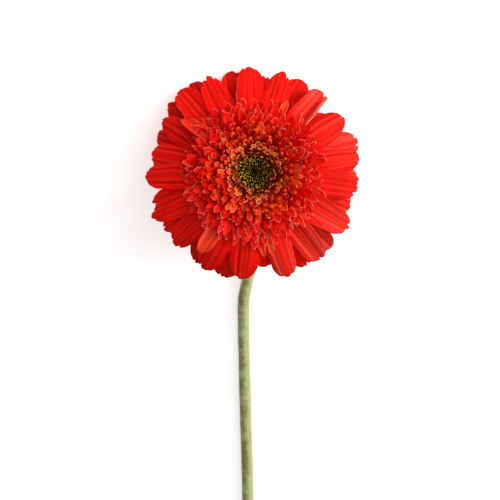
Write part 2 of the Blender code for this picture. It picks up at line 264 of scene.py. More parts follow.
def bezier(points, t):
    """Points on a Bezier curve of any degree, one row for each value of t."""
    t = np.asarray(t, float)[..., None]
    work = [np.asarray(p, float) * np.ones_like(t) for p in points]
    while len(work) > 1:
        work = [a * (1.0 - t) + b * t for a, b in zip(work, work[1:])]
    return work[0]


def unit(vectors):
    return vectors / np.maximum(np.linalg.norm(vectors, axis=-1, keepdims=True), 1e-12)


def grid(rows, cols):
    """The share along, from 0 to 1 over the rows, and across, from -1 to 1 over the columns."""
    return np.meshgrid(np.linspace(0.0, 1.0, rows), np.linspace(-1.0, 1.0, cols), indexing="ij")


def off_spine(spine, t, side, lift):
    """Points beside a spine of (radius, height): side is to its left, lift square to it."""
    middle = bezier(spine, t)
    ahead = unit(bezier(spine, t + 0.01) - bezier(spine, t - 0.01))
    return np.stack([middle[..., 0] - ahead[..., 1] * lift, side, middle[..., 1] + ahead[..., 0] * lift], -1)


def head_space():
    """The matrix from the head's space to the frame's, read off the receptacle's flat seat."""
    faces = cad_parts["receptacle"].data.polygons
    largest = max(faces, key=lambda face: face.area)
    seat = [face for face in faces if face.normal.dot(largest.normal) > SAME_WAY]
    middle = sum((face.center * face.area for face in seat), Vector()) / sum(face.area for face in seat)
    axis = sum((face.normal * face.area for face in seat), Vector()).normalized()
    side = Vector((1.0, 0.0, 0.0))
    turn = Matrix((side, axis.cross(side).normalized(), axis)).transposed().to_4x4()
    return Matrix.Translation(middle) @ turn


HEAD = head_space()
HEAD_AXIS = HEAD.to_3x3() @ Vector((0.0, 0.0, 1.0))


def placed(points, degrees):
    """Points of shape (..., 3) turned round the head's axis and taken from its space to the frame's."""
    m = np.array(HEAD @ Matrix.Rotation(math.radians(degrees), 4, "Z"))
    return points @ m[:3, :3].T + m[:3, 3]


def above_surface(points, clearance):
    """Points kept above the surface, bending softly where they meet it."""
    over = (points[..., 2] - clearance) / SETTLING
    points[..., 2] = clearance + SETTLING * np.logaddexp(0.0, over)
    return points


def add_mark(mesh, label, values):
    made = mesh.attributes.new(label, "FLOAT", "POINT")
    made.data.foreach_set("value", np.asarray(values, np.float32))


def sheet_mesh(points, thickness, marks):
    """A closed thin solid round a grid of points (rows, columns, 3).

    The side that the rows and columns turn anticlockwise on is the upper side.
    marks are values for each point, kept as attributes; "under" is 1 on the underside.
    """
    rows, cols = points.shape[:2]
    normals = unit(np.cross(np.gradient(points, axis=0), np.gradient(points, axis=1)))
    half = normals * np.broadcast_to(thickness, (rows, cols))[..., None] / 2.0
    verts = np.concatenate([(points + half).reshape(-1, 3), (points - half).reshape(-1, 3)])
    index = np.arange(rows * cols).reshape(rows, cols)
    corners = [index[:-1, :-1], index[1:, :-1], index[1:, 1:], index[:-1, 1:]]
    upper = np.stack(corners, -1).reshape(-1, 4)
    below = rows * cols
    edge = np.concatenate([index[:-1, 0], index[-1, :-1], index[:0:-1, -1], index[0, :0:-1]])
    following = np.roll(edge, -1)
    side = np.stack([following, edge, edge + below, following + below], 1)
    mesh = bpy.data.meshes.new("sheet")
    mesh.from_pydata(verts.tolist(), [], np.concatenate([upper, upper[:, ::-1] + below, side]).tolist())
    for label, values in marks.items():
        add_mark(mesh, label, np.tile(np.broadcast_to(values, (rows, cols)).ravel(), 2))
    add_mark(mesh, "under", np.repeat([0.0, 1.0], below))
    mesh.shade_smooth()
    return mesh


def turned_mesh(profile, sides):
    """A closed turned solid from (radius, height) points in mm that start and end on the axis."""
    ring = np.linspace(0.0, math.tau, sides, endpoint=False)
    levels = [(r * math.cos(a), r * math.sin(a), height) for r, height in profile[1:-1] for a in ring]
    verts = [(0.0, 0.0, profile[0][1]), *levels, (0.0, 0.0, profile[-1][1])]
    top = 1 + len(levels) - sides
    faces = []
    for k in range(sides):
        after = (k + 1) % sides
        faces.append((0, 1 + after, 1 + k))
        for low in range(1, top, sides):
            faces.append((low + k, low + after, low + sides + after, low + sides + k))
        faces.append((top + k, top + after, len(verts) - 1))
    mesh = bpy.data.meshes.new("turned")
    mesh.from_pydata((np.array(verts) * MM).tolist(), [], faces)
    mesh.shade_smooth()
    return mesh


def add_object(name, data):
    made = bpy.data.objects.new(name, data)
    bpy.context.scene.collection.objects.link(made)
    return made


def add_piece(name, mesh, node, finish=None):
    """Puts a finished mesh in the scene as a piece of the flower that stands for a node."""
    mesh.name = name
    if finish is not None:
        mesh.materials.clear()
        mesh.materials.append(finish)
    piece = add_object(name, mesh)
    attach(piece, BODY)
    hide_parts(node)


# --- settings ---------------------------------------------------------------------------


def a_length(name, description, mm):
    return FloatProperty(name=name, description=description, default=mm * MM, unit="LENGTH")


def a_colour(name, description, *rgb):
    return FloatVectorProperty(name=name, description=description, default=rgb, subtype="COLOR", size=3)


def a_count(name, description, value, lowest=0):
    return IntProperty(name=name, description=description, default=value, min=lowest)


def a_number(name, description, value, unit="NONE"):
    return FloatProperty(name=name, description=description, default=value, unit=unit)


# --- node tools -------------------------------------------------------------------------


def enabled(sockets, name):
    """The socket in use that has the given name or number."""
    if isinstance(name, int):
        return sockets[name]
    return next(s for s in sockets if s.name == name and s.enabled)


class Tree:
    """A node tree being built; its methods add nodes and give their outputs."""

    def __init__(self, tree):
        self.tree = tree

    def fill(self, socket, value):
        """Gives a socket a value, a colour or another node's output."""
        if isinstance(value, bpy.types.NodeSocket):
            self.tree.links.new(value, socket)
        elif socket.type == "RGBA":
            socket.default_value = (*value[:3], 1.0)
        else:
            socket.default_value = value

    def node(self, kind, inputs=None, **settings):
        made = self.tree.nodes.new(kind)
        for key, value in settings.items():
            setattr(made, key, value)
        for key, value in (inputs or {}).items():
            self.fill(enabled(made.inputs, key), value)
        return made

    def out(self, kind, inputs=None, output=0, **settings):
        return enabled(self.node(kind, inputs, **settings).outputs, output)

    def math(self, operation, a, b=0.0, c=0.0, clamp=False):
        return self.out("ShaderNodeMath", {0: a, 1: b, 2: c}, operation=operation, use_clamp=clamp)

    def times(self, a, b, plus=0.0, clamp=False):
        """Two values' product, with a third value added to it."""
        return self.math("MULTIPLY_ADD", a, b, plus, clamp)

    def plus(self, a, b):
        return self.math("ADD", a, b)

    def mix(self, factor, a, b, blend="MIX"):
        inputs = {"Factor": factor, "A": a, "B": b}
        return self.out("ShaderNodeMix", inputs, "Result", data_type="RGBA", blend_type=blend)

    def ranged(self, value, low, high, to_low=0.0, to_high=1.0, kind="SMOOTHSTEP"):
        """Maps a value from one range to another."""
        inputs = {"Value": value, "From Min": low, "From Max": high, "To Min": to_low, "To Max": to_high}
        return self.out("ShaderNodeMapRange", inputs, "Result", interpolation_type=kind)

    def noise(self, place, scale, detail, output="Fac"):
        return self.out("ShaderNodeTexNoise", {"Vector": place, "Scale": scale, "Detail": detail}, output)

    def xyz(self, x, y, z):
        return self.out("ShaderNodeCombineXYZ", {0: x, 1: y, 2: z})

    def part(self, vector, axis):
        """One of a vector's three numbers."""
        return self.out("ShaderNodeSeparateXYZ", {0: vector}, axis)

    def vector(self, operation, a, inputs):
        return self.out("ShaderNodeVectorMath", {0: a, **inputs}, operation=operation)

    def darkened(self, colour, shade):
        """A colour times a grey."""
        grey = self.out("ShaderNodeCombineColor", {0: shade, 1: shade, 2: shade})
        return self.mix(1.0, colour, grey, "MULTIPLY")

    def coordinates(self, label="Object"):
        return self.out("ShaderNodeTexCoord", output=label)

    def marks(self, labels):
        """One output for each named attribute."""
        kind = "ShaderNodeAttribute"
        return [self.out(kind, output="Fac", attribute_name=label) for label in labels.split()]

    def group(self, group, inputs):
        """Places a shader node group and gives its outputs in their order."""
        return self.node("ShaderNodeGroup", inputs, node_tree=group).outputs

    def surface(self, shader, colour, rough, height, strength, distance):
        """Joins colour, roughness and bump to a Principled BSDF's inputs."""
        bump = {"Height": height, "Strength": strength, "Distance": distance}
        self.fill(shader["Base Color"], colour)
        self.fill(shader["Roughness"], rough)
        self.fill(shader["Normal"], self.out("ShaderNodeBump", bump))

    def random(self, low, high, seed, shift):
        """A random value between two limits, its own for each shift."""
        inputs = {"Seed": self.plus(seed, float(shift)), "Min": low, "Max": high}
        return self.out("FunctionNodeRandomValue", inputs, "Value", data_type="FLOAT")

    def rotation(self, x, y, z):
        return self.out("FunctionNodeEulerToRotation", {0: self.xyz(x, y, z)})

    def stored(self, geometry, label, value, domain="INSTANCE"):
        """Keeps a value as a named attribute of a geometry."""
        inputs = {"Geometry": geometry, "Name": label, "Value": value}
        return self.out("GeometryNodeStoreNamedAttribute", inputs, data_type="FLOAT", domain=domain)

    def finished(self, geometry, material):
        """Ends a geometry tree in Realize Instances and Set Material."""
        real = self.out("GeometryNodeRealizeInstances", {"Geometry": geometry})
        return {"Geometry": self.out("GeometryNodeSetMaterial", {"Geometry": real, "Material": material})}


GEOMETRY = "NodeSocketGeometry"
MATERIAL = "NodeSocketMaterial"
SOCKET_KINDS = {float: "NodeSocketFloat", int: "NodeSocketInt", tuple: "NodeSocketColor"}


def node_group(name, kind, inputs, outputs):
    """Turns a function that fills a node group into one that returns the group, made only once.

    Sockets come with their default values, or with the name of a kind that has none.
    """
    def wrap(fill_group):
        def group():
            if name in bpy.data.node_groups:
                return bpy.data.node_groups[name]
            made = bpy.data.node_groups.new(name, kind)
            for in_out, sockets in (("INPUT", inputs), ("OUTPUT", outputs)):
                for label, value in sockets.items():
                    socket_kind = SOCKET_KINDS.get(type(value), value)
                    socket = made.interface.new_socket(name=label, in_out=in_out, socket_type=socket_kind)
                    if socket_kind != value:
                        socket.default_value = value
            tree = Tree(made)
            given = tree.node("NodeGroupInput").outputs
            sink = tree.node("NodeGroupOutput").inputs
            for label, value in fill_group(tree, given).items():
                tree.fill(sink[label], value)
            return made
        return group
    return wrap


@node_group("Petal Veins", "ShaderNodeTree",
            {"Across": 0.0, "Along": 0.0, "Tone": 0.0, "Strands": 9.0}, {"Veins": 0.0, "Height": 0.0})
def vein_group(tree, given):
    """Lengthwise veins and fine cell rows of a petal, from its own across and along marks."""
    wide = tree.times(given["Across"], given["Strands"])
    apart = tree.times(given["Tone"], 37.0)
    broad = tree.noise(tree.xyz(wide, given["Along"], apart), 1.0, 2.0)
    fine = tree.noise(tree.xyz(tree.times(wide, 3.0), given["Along"], apart), 1.3, 2.0)
    veins = tree.ranged(broad, 0.42, 0.66)
    thread = tree.ranged(fine, 0.35, 0.7)
    both = tree.times(thread, 0.35, tree.times(veins, 0.65))
    return {"Veins": both, "Height": tree.times(thread, 0.5, veins)}


@node_group("Flesh Colour", "ShaderNodeTree", {
    "Shaded": (0.4, 0.0, 0.0, 1.0), "Lit": (0.8, 0.0, 0.0, 1.0), "Tone": 0.5, "Patches": 120.0, "Reach": 0.5,
}, {"Colour": (1.0, 1.0, 1.0, 1.0), "Mask": 0.0})
def flesh_group(tree, given):
    """Soft patches between a shaded and a lit colour, over the object and from piece to piece."""
    patch = tree.ranged(tree.noise(tree.coordinates(), given["Patches"], 3.0), 0.3, 0.7)
    mask = tree.times(tree.plus(given["Tone"], -0.5), given["Reach"], patch, clamp=True)
    return {"Colour": tree.mix(mask, given["Shaded"], given["Lit"]), "Mask": mask}


@node_group("Pale Rim", "ShaderNodeTree", {
    "Colour": (0.8, 0.0, 0.0, 1.0), "Rim Colour": (0.9, 0.5, 0.4, 1.0),
    "Rim": 0.0, "Start": 0.4, "Strength": 1.0,
}, {"Colour": (1.0, 1.0, 1.0, 1.0)})
def rim_group(tree, given):
    """A thin pale line along a petal's edge, broken where the edge is thicker."""
    broken = tree.ranged(tree.noise(tree.coordinates(), 260.0, 1.0), 0.3, 0.6, 0.35, 1.0)
    line = tree.times(tree.ranged(given["Rim"], given["Start"], 1.0), broken)
    amount = tree.times(line, given["Strength"], clamp=True)
    return {"Colour": tree.mix(amount, given["Colour"], given["Rim Colour"])}


@node_group("Floret Ring", "GeometryNodeTree", {
    "Geometry": GEOMETRY, "Other": "NodeSocketObject", "Count": 30, "Turn": 0.0, "Turn Spread": 0.05,
    "Tilt Spread": 0.05, "Size Spread": 0.05, "Ruffle": 0.4 * MM, "Seed": 0, "Material": MATERIAL,
}, {"Geometry": GEOMETRY})
def ring_tree(tree, given):
    """Stands copies of a floret or bract in a ring round the Z axis, each a little different."""
    points = tree.out("GeometryNodePoints", {"Count": given["Count"]})
    step = tree.math("DIVIDE", math.tau, given["Count"])
    azimuth = tree.times(tree.out("GeometryNodeInputIndex"), step, given["Turn"])
    spread = []
    for shift, label in enumerate(("Turn Spread", "Tilt Spread", "Tilt Spread", "Size Spread")):
        low = tree.times(given[label], -1.0)
        spread.append(tree.random(low, given[label], given["Seed"], shift * 11))
    info = tree.out("GeometryNodeObjectInfo", {"Object": given["Other"]}, "Geometry")
    kinds = tree.node("GeometryNodeJoinGeometry")
    for kind in (given["Geometry"], info):
        tree.fill(kinds.inputs[0], tree.out("GeometryNodeGeometryToInstance", {0: kind}))
    stood = tree.out("GeometryNodeInstanceOnPoints", {
        "Points": points, "Instance": kinds.outputs[0], "Pick Instance": True,
        "Instance Index": tree.math("ROUND", tree.random(0.0, 1.0, given["Seed"], 77)),
        "Rotation": tree.rotation(spread[1], spread[2], tree.plus(azimuth, spread[0])),
        "Scale": tree.plus(spread[3], 1.0),
    })
    toned = tree.stored(stood, "tone", tree.random(0.0, 1.0, given["Seed"], 99))
    real = tree.out("GeometryNodeRealizeInstances", {"Geometry": toned})
    noise = tree.noise(tree.out("GeometryNodeInputPosition"), 170.0, 1.0, "Color")
    centred = tree.vector("SUBTRACT", noise, {1: (0.5, 0.5, 0.5)})
    offset = tree.vector("SCALE", centred, {"Scale": given["Ruffle"]})
    moved = tree.out("GeometryNodeSetPosition", {"Geometry": real, "Offset": offset})
    return tree.finished(moved, given["Material"])


@node_group("Bud Spiral", "GeometryNodeTree", {
    "Geometry": GEOMETRY, "Count": 150, "Radius": 8.5 * MM, "Crown": 1.0 * MM, "Lean": -0.5,
    "Middle Size": 0.6, "Seed": 0, "Material": MATERIAL,
}, {"Geometry": GEOMETRY})
def spiral_tree(tree, given):
    """Packs closed buds in a sunflower spiral over a low dome, leaning in towards its middle."""
    seed = given["Seed"]
    points = tree.out("GeometryNodePoints", {"Count": given["Count"]})
    index = tree.out("GeometryNodeInputIndex")
    share = tree.math("DIVIDE", tree.plus(index, 0.5), given["Count"])
    out_share = tree.math("SQRT", share)
    radius = tree.times(out_share, given["Radius"])
    azimuth = tree.times(index, GOLDEN_ANGLE, tree.random(-0.06, 0.06, seed, 3))
    x = tree.times(radius, tree.math("COSINE", azimuth))
    y = tree.times(radius, tree.math("SINE", azimuth))
    drop = tree.times(share, given["Crown"])
    z = tree.math("SUBTRACT", tree.random(-0.4 * MM, 0.4 * MM, seed, 5), drop)
    laid = tree.out("GeometryNodeSetPosition", {"Geometry": points, "Position": tree.xyz(x, y, z)})
    lean = tree.times(out_share, given["Lean"], tree.random(-0.2, 0.2, seed, 7))
    size = tree.ranged(out_share, 0.0, 0.7, given["Middle Size"], 1.0)
    stood = tree.out("GeometryNodeInstanceOnPoints", {
        "Points": laid, "Instance": given["Geometry"], "Rotation": tree.rotation(0.0, lean, azimuth),
        "Scale": tree.times(size, tree.random(0.76, 1.08, seed, 9)),
    })
    toned = tree.stored(stood, "tone", tree.random(0.0, 1.0, seed, 13))
    ripened = tree.stored(toned, "ripe", tree.ranged(out_share, 0.02, 0.2))
    return tree.finished(ripened, given["Material"])


@node_group("Stem Tube", "GeometryNodeTree", {
    "Geometry": GEOMETRY, "Sides": 40, "Ribs": 11.0, "Rib Depth": 0.06 * MM, "Dent Depth": 0.2 * MM,
    "Material": MATERIAL,
}, {"Geometry": GEOMETRY})
def stem_tree(tree, given):
    """A ribbed, slightly uneven tube along a curve that carries its radius."""
    factor = tree.out("GeometryNodeSplineParameter", output="Factor")
    ring = {"Resolution": given["Sides"], "Radius": 1.0}
    circle = tree.out("GeometryNodeCurvePrimitiveCircle", ring, "Curve")
    tube = tree.out("GeometryNodeCurveToMesh", {
        "Curve": tree.stored(given["Geometry"], "along", factor, "POINT"),
        "Profile Curve": tree.stored(circle, "around", factor, "POINT"),
        "Scale": tree.out("GeometryNodeInputRadius"), "Fill Caps": True,
    })
    around = tree.out("GeometryNodeInputNamedAttribute", {"Name": "around"}, "Attribute", data_type="FLOAT")
    wave = tree.math("COSINE", tree.times(tree.times(around, math.tau), given["Ribs"]))
    dent = tree.plus(tree.noise(tree.out("GeometryNodeInputPosition"), 90.0, 2.0), -0.5)
    total = tree.times(wave, given["Rib Depth"], tree.times(dent, given["Dent Depth"]))
    offset = tree.vector("SCALE", tree.out("GeometryNodeInputNormal"), {"Scale": total})
    moved = tree.out("GeometryNodeSetPosition", {"Geometry": tube, "Offset": offset})
    return tree.finished(moved, given["Material"])


@node_group("Fine Hairs", "GeometryNodeTree", {
    "Geometry": GEOMETRY, "Density": 1000000.0, "Length": 0.8 * MM, "Thickness": 0.03 * MM,
    "Lowest Normal": -0.6, "Seed": 0, "Material": MATERIAL,
}, {"Geometry": GEOMETRY})
def hair_tree(tree, given):
    """Fine short hairs over a surface, leaning a little this way and that."""
    height = tree.part(tree.out("GeometryNodeInputNormal"), 2)
    strewn = tree.node("GeometryNodeDistributePointsOnFaces", {
        "Mesh": given["Geometry"], "Selection": tree.math("GREATER_THAN", height, given["Lowest Normal"]),
        "Density": given["Density"], "Seed": given["Seed"],
    })
    cone = tree.out("GeometryNodeMeshCone", {
        "Vertices": 3, "Radius Bottom": given["Thickness"], "Radius Top": 0.0, "Depth": given["Length"],
    }, "Mesh", fill_type="NGON")
    lean = [tree.random(-0.55, 0.55, given["Seed"], shift) for shift in (21, 22)]
    turn = tree.out("FunctionNodeRotateRotation", {
        0: enabled(strewn.outputs, "Rotation"), 1: tree.rotation(*lean, 0.0),
    }, rotation_space="LOCAL")
    stood = tree.out("GeometryNodeInstanceOnPoints", {
        "Points": enabled(strewn.outputs, "Points"), "Instance": cone, "Rotation": turn,
        "Scale": tree.random(0.6, 1.2, given["Seed"], 23),
    })
    return tree.finished(stood, given["Material"])


def grown(data, group, values):
    """The plain mesh that a geometry node group makes of a mesh or a curve."""
    source = add_object(data.name, data)
    modifier = source.modifiers.new(group.name, "NODES")
    modifier.node_group = group
    for item in group.interface.items_tree:
        if item.name in values:
            modifier[item.identifier] = values[item.name]
    graph = bpy.context.evaluated_depsgraph_get()
    mesh = bpy.data.meshes.new_from_object(source.evaluated_get(graph))
    source.modifiers.remove(modifier)
    bpy.data.objects.remove(source)
    return mesh


def grown_ring(kinds, values):
    """The mesh of a ring of florets or bracts of two kinds, mixed at random."""
    other = add_object("other", kinds[1])
    mesh = grown(kinds[0], ring_tree(), {"Other": other, **values})
    bpy.data.objects.remove(other)
    return mesh


# --- materials --------------------------------------------------------------------------


def new_material(name, roughness, gloss):
    """A material, its tree and its Principled BSDF's inputs; gloss is its specular level."""
    made = bpy.data.materials.new(name)
    made.use_nodes = True
    shader = made.node_tree.nodes["Principled BSDF"].inputs
    shader["Roughness"].default_value = roughness
    shader["Specular IOR Level"].default_value = gloss
    return made, Tree(made.node_tree), shader


def petal_material(name, sizes, rim_strength, bright_colour, under_share):
    """The ray florets' finish: veined scarlet above, with painted highlight on the ridges, painted shade in
    the grooves and towards the foot, and painted light on the tips that face the key light; paler salmon
    below, pale at the very edge.
    """
    made, tree, shader = new_material(name, 0.5, 0.03)
    along, across, tone, rim = tree.marks("along across tone rim")
    under, crease, groove, bleach = tree.marks("under crease groove bleach")
    vein, height = tree.group(vein_group(), {"Across": across, "Along": along, "Tone": tone, "Strands": 7.0})
    colour = tree.group(flesh_group(), {
        "Shaded": sizes.deep_colour, "Lit": bright_colour, "Tone": tone, "Patches": 70.0, "Reach": 1.0,
    })["Colour"]
    # Painted highlight: a lighter orange-red along the ridges beside the grooves, broken up by the veins.
    broken = tree.times(tree.ranged(vein, 0.0, 0.8, 0.25, 1.0), crease)
    streaked = tree.ranged(vein, 0.0, 0.7, 0.35, 1.0)
    for amount, layer in (
        (tree.times(vein, 0.13), sizes.vein_and_ridge_highlight_colour),
        (tree.times(broken, 0.8, clamp=True), sizes.vein_and_ridge_highlight_colour),
        # Painted shade: the deep scarlet in the grooves.
        (tree.times(groove, 0.85, clamp=True), sizes.deep_colour),
        # Painted light: a light salmon towards the tips of the rays on the key light's side.
        (tree.times(bleach, streaked, clamp=True), sizes.painted_tip_light_colour),
    ):
        colour = tree.mix(amount, colour, layer)
    # Painted shade: the petal darkens towards its foot, where it runs in under the crest.
    colour = tree.darkened(colour, tree.ranged(along, 0.30, 0.70, 0.45, 1.0))
    lined = tree.mix(tree.ranged(vein, 0.1, 0.8), sizes.under_colour, sizes.under_vein_colour)
    colour = tree.mix(tree.times(under, under_share), colour, lined)
    rimmed = tree.group(rim_group(), {
        "Colour": colour, "Rim Colour": sizes.rim_colour, "Rim": rim, "Start": 0.5, "Strength": rim_strength,
    })
    tree.surface(shader, rimmed["Colour"], tree.ranged(vein, 0.0, 1.0, 0.44, 0.6), height, 0.35, 0.15 * MM)
    return made


def floret_material(name, sizes):
    """The small florets' finish: painted shade at the foot, warmer to the tip, with a pale rim that is a
    painted glint where it is cream.
    """
    look = FLORET_FINISHES[name]
    foot, body, tip, pale = (getattr(sizes, label + "_colour") for label in look["colours"].split())
    made, tree, shader = new_material(name, 0.5, 0.04)
    along, across, tone, rim = tree.marks("along across tone rim")
    # Painted shade: the florets darken towards the foot, where they stand close together.
    colour = tree.mix(tree.ranged(along, look["foot_to"] - 0.4, look["foot_to"]), foot, body)
    mask = tree.group(flesh_group(), {
        "Shaded": body, "Lit": tip, "Tone": tone, "Patches": look["patches"], "Reach": 1.3,
    })["Mask"]
    vein, height = tree.group(vein_group(), {"Across": across, "Along": along, "Tone": tone, "Strands": 3.0})
    warm = tree.times(mask, tree.ranged(along, look["tip_from"], look["tip_from"] + 0.4))
    colour = tree.mix(tree.times(vein, 0.25, warm, clamp=True), colour, tip)
    # Two numbers of each floret's own: how strong its rim is, and on which side it shows.
    own = tree.math("FRACT", tree.times(tone, 7.3))
    other = tree.math("FRACT", tree.times(tone, 13.7))
    strength = tree.times(tree.ranged(own, 0.15, 0.8, 0.5 * look["whole"], 1.0), look["rim"])
    side = tree.times(tree.math("GREATER_THAN", other, 0.5), 2.0, -1.0)
    half = tree.ranged(tree.times(across, side), -0.5, 0.1, look["whole"], 1.0)
    # Where the rim colour is cream, on the disc florets, the rim is painted highlight: glints where their
    # edges catch the light.
    rimmed = tree.group(rim_group(), {
        "Colour": colour, "Rim Colour": pale, "Rim": rim, "Start": 0.15,
        "Strength": tree.times(strength, half),
    })
    tree.surface(shader, rimmed["Colour"], tree.ranged(vein, 0.0, 1.0, 0.42, 0.58), height, 0.2, 0.08 * MM)
    return made


def green_material(name, shaded, lit, tip=None, patches=90.0, gloss=0.3):
    """Soft green plant tissue with mottling and fine lengthwise lines."""
    made, tree, shader = new_material(name, 0.62, gloss)
    flesh = tree.group(flesh_group(), {
        "Shaded": shaded, "Lit": lit, "Tone": 0.5, "Patches": patches, "Reach": 0.0,
    })
    grain = tree.noise(tree.coordinates(), 1400.0, 3.0)
    colour = tree.darkened(flesh["Colour"], tree.ranged(grain, 0.35, 0.7, 0.82, 1.12))
    if tip is not None:
        point = tree.ranged(tree.marks("along")[0], 0.72, 1.0)
        colour = tree.mix(tree.times(point, 0.8), colour, tip)
    tree.surface(shader, colour, tree.ranged(grain, 0.3, 0.7, 0.55, 0.72), grain, 0.3, 0.08 * MM)
    return made


def bud_material(sizes):
    """The eye's finish: near-black between the buds, olive at their tips."""
    made, tree, shader = new_material("eye_bud", 0.55, 0.08)
    along, tone, ripe = tree.marks("along tone ripe")
    flesh = tree.group(flesh_group(), {
        "Shaded": sizes.middle_colour, "Lit": sizes.tip_colour, "Tone": tone, "Patches": 500.0, "Reach": 1.0,
    })
    shown = tree.times(tree.ranged(along, 0.52, 0.76), ripe)
    tree.fill(shader["Base Color"], tree.mix(shown, sizes.dark_colour, flesh["Colour"]))
    tree.fill(shader["Roughness"], tree.ranged(along, 0.5, 1.0, 0.7, 0.4))
    return made


def stem_material(sizes):
    """The stem's finish: mottled grey-green with fine lines, painted light that makes the side facing +X,
    towards the key light, paler, painted shade on the other side, and pale pith in the cut end.
    """
    made, tree, shader = new_material("stem_skin", 0.6, 0.3)
    # Painted light and shade: the side of the stem that faces +X, where the key light stands, takes the lit
    # colour and the other side the shaded one.
    paler = tree.ranged(tree.part(tree.coordinates("Normal"), 0), -0.9, 0.9, 0.3, 1.0)
    flesh = tree.group(flesh_group(), {
        "Shaded": sizes.shaded_colour, "Lit": sizes.lit_colour, "Tone": paler, "Patches": 260.0, "Reach": 1.6,
    })
    around, along = tree.marks("around along")
    streak = tree.noise(tree.xyz(tree.times(around, 60.0), tree.times(along, 12.0), 0.0), 1.0, 2.0)
    grain = tree.noise(tree.coordinates(), 1600.0, 3.0)
    lines = tree.ranged(streak, 0.3, 0.7, -0.09, 0.09)
    colour = tree.darkened(flesh["Colour"], tree.plus(lines, tree.ranged(grain, 0.3, 0.7, 0.88, 1.1)))
    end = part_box("stem")[0].y
    cut = tree.ranged(tree.part(tree.coordinates(), 1), end - 0.02 * MM, end - 0.06 * MM)
    colour = tree.mix(cut, colour, sizes.pith_colour)
    tree.surface(shader, colour, tree.ranged(grain, 0.3, 0.7, 0.52, 0.7), grain, 0.35, 0.1 * MM)
    return made


# --- ray florets ------------------------------------------------------------------------


def cross_section(across, slope):
    """Sideways and upward offsets, for a half width of 1, of a strip that slopes as given."""
    step = np.diff(across, axis=1)
    between = (slope[:, 1:] + slope[:, :-1]) / 2.0
    start = np.zeros((len(across), 1))
    side = np.concatenate([start, np.cumsum(np.cos(between) * step, 1)], 1)
    rise = np.concatenate([start, np.cumsum(np.sin(between) * step, 1)], 1)
    middle = across.shape[1] // 2
    return side - side[:, middle:middle + 1], rise - rise[:, middle:middle + 1]


def ray_points(row, shape, sizes, rows=36, cols=25):
    """The middle surface of one ray floret in the head's space, pointing along +X, and its marks."""
    along, across = grid(rows, cols)
    along = along**0.8
    across = np.sign(across) * (1.25 * np.abs(across) - 0.25 * across**2)
    layer, phase = shape["layer"], shape["phase"]
    spine = [
        (row["seat"] * MM, SEAT_GAP),
        ((row["seat"] + 0.4) * MM, (row["lift"] + layer) * MM),
        (row["shoulder"] * MM, (row["arch"] + layer + shape["arch"]) * MM),
        (shape["reach"] * MM, (row["tip"] + layer * 1.3 + shape["droop"]) * MM),
    ]
    # The outline: how far the tip's corners, teeth and frayed edge stand back along the spine.
    blade = smooth(0.55, 1.0, along)
    rounding = sizes.tip_rounding * shape["wide"] * (1.0 - np.sqrt(1.0 - 0.95 * across**2))
    rounding = (rounding + shape["point"] * MM * np.abs(across)) * blade
    teeth = sum(bell(across - place, TOOTH_WIDTH) * deep for place, deep in shape["teeth"])
    ragged = FRAYING * np.sin(across * 23.0 + phase) * np.sin(across * 41.0)
    back = rounding + (sizes.notch_depth * teeth + ragged) * smooth(0.86, 1.0, along)
    where = np.clip(along - back / (shape["reach"] * 0.88 * MM), 0.0, 1.02)
    # The width: a narrow claw that opens into a blade no wider than its place in the row.
    radius = bezier(spine, where)[..., 0]
    wedge = 2.0 * radius * math.tan(math.pi / RAYS_IN_ROW) * NEIGHBOUR_OVERLAP
    opening = smooth(*CLAW_TO_BLADE, radius)
    width = np.minimum(wedge, sizes.blade_width * shape["wide"] * row["wide"]) * opening
    width = (width + CLAW_WIDTH * (1.0 - opening)) * (1.0 - 0.12 * smooth(0.8, 1.0, along))
    # The slope across: the cup, one edge rolled, one half folded and the blade's twist.
    rolled = smooth(0.25, 0.95, across * shape["roll_side"]) * smooth(0.5, 0.8, along)
    folded = smooth(-0.12, 0.12, across * shape["fold_side"]) * smooth(0.45, 0.75, along)
    slope = 2.0 * shape["cup"] * across * smooth(0.3, 0.75, along) + shape["twist"] * smooth(0.3, 0.9, along)
    slope += shape["roll"] * shape["roll_side"] * rolled + shape["fold"] * shape["fold_side"] * folded
    side, rise = cross_section(across, slope)
    # The relief: grooves with a ridge on either side, fine lines and a ruffled edge.
    body = smooth(0.25, 0.6, along) * (1.0 - 0.35 * smooth(0.88, 1.0, along))
    away = [(np.abs(across - place), deep) for place, deep in shape["grooves"]]
    grooves = sum(bell(distance, GROOVE_WIDTH) * deep for distance, deep in away)
    ridges = sum(bell(distance - RIDGE_FROM_GROOVE, RIDGE_WIDTH) * deep for distance, deep in away)
    lines = FINE_LINES * np.sin(across * 34.0 + phase)
    pleat = ((RIDGE_SHARE * ridges - grooves) * sizes.groove_depth + lines) * body
    pleat += RUFFLED_EDGE * np.sin(along * 10.0 + phase + across) * np.abs(across) ** 3 * blade
    side = side * width / 2.0 - np.sin(slope) * pleat + shape["bend"] * MM * smooth(0.3, 1.0, along)
    points = off_spine(spine, where, side, rise * width / 2.0 + np.cos(slope) * pleat)
    # A petal without a pale side has both of its edges pale, over a wider strip.
    strip = np.abs(across) ** (14 if shape["pale_side"] else 12) * (across * shape["pale_side"] >= 0.0)
    edge = 0.35 * smooth(0.985, 1.0, along) * (1.0 - across**6)
    edge += shape["pale"] * strip * smooth(0.4, 0.7, along)
    # Painted light: a light salmon, streaked, towards the tip of the rays on the key light's side.
    painted_lit = shape["bleach"] * smooth(0.55, 1.0, along) * (0.6 + 0.4 * np.sin(across * 6.0 + phase))
    return points, {
        "along": along, "across": across, "rim": edge, "crease": ridges * smooth(0.35, 0.6, along),
        "groove": grooves * body, "tone": shape["tone"], "bleach": painted_lit,
    }


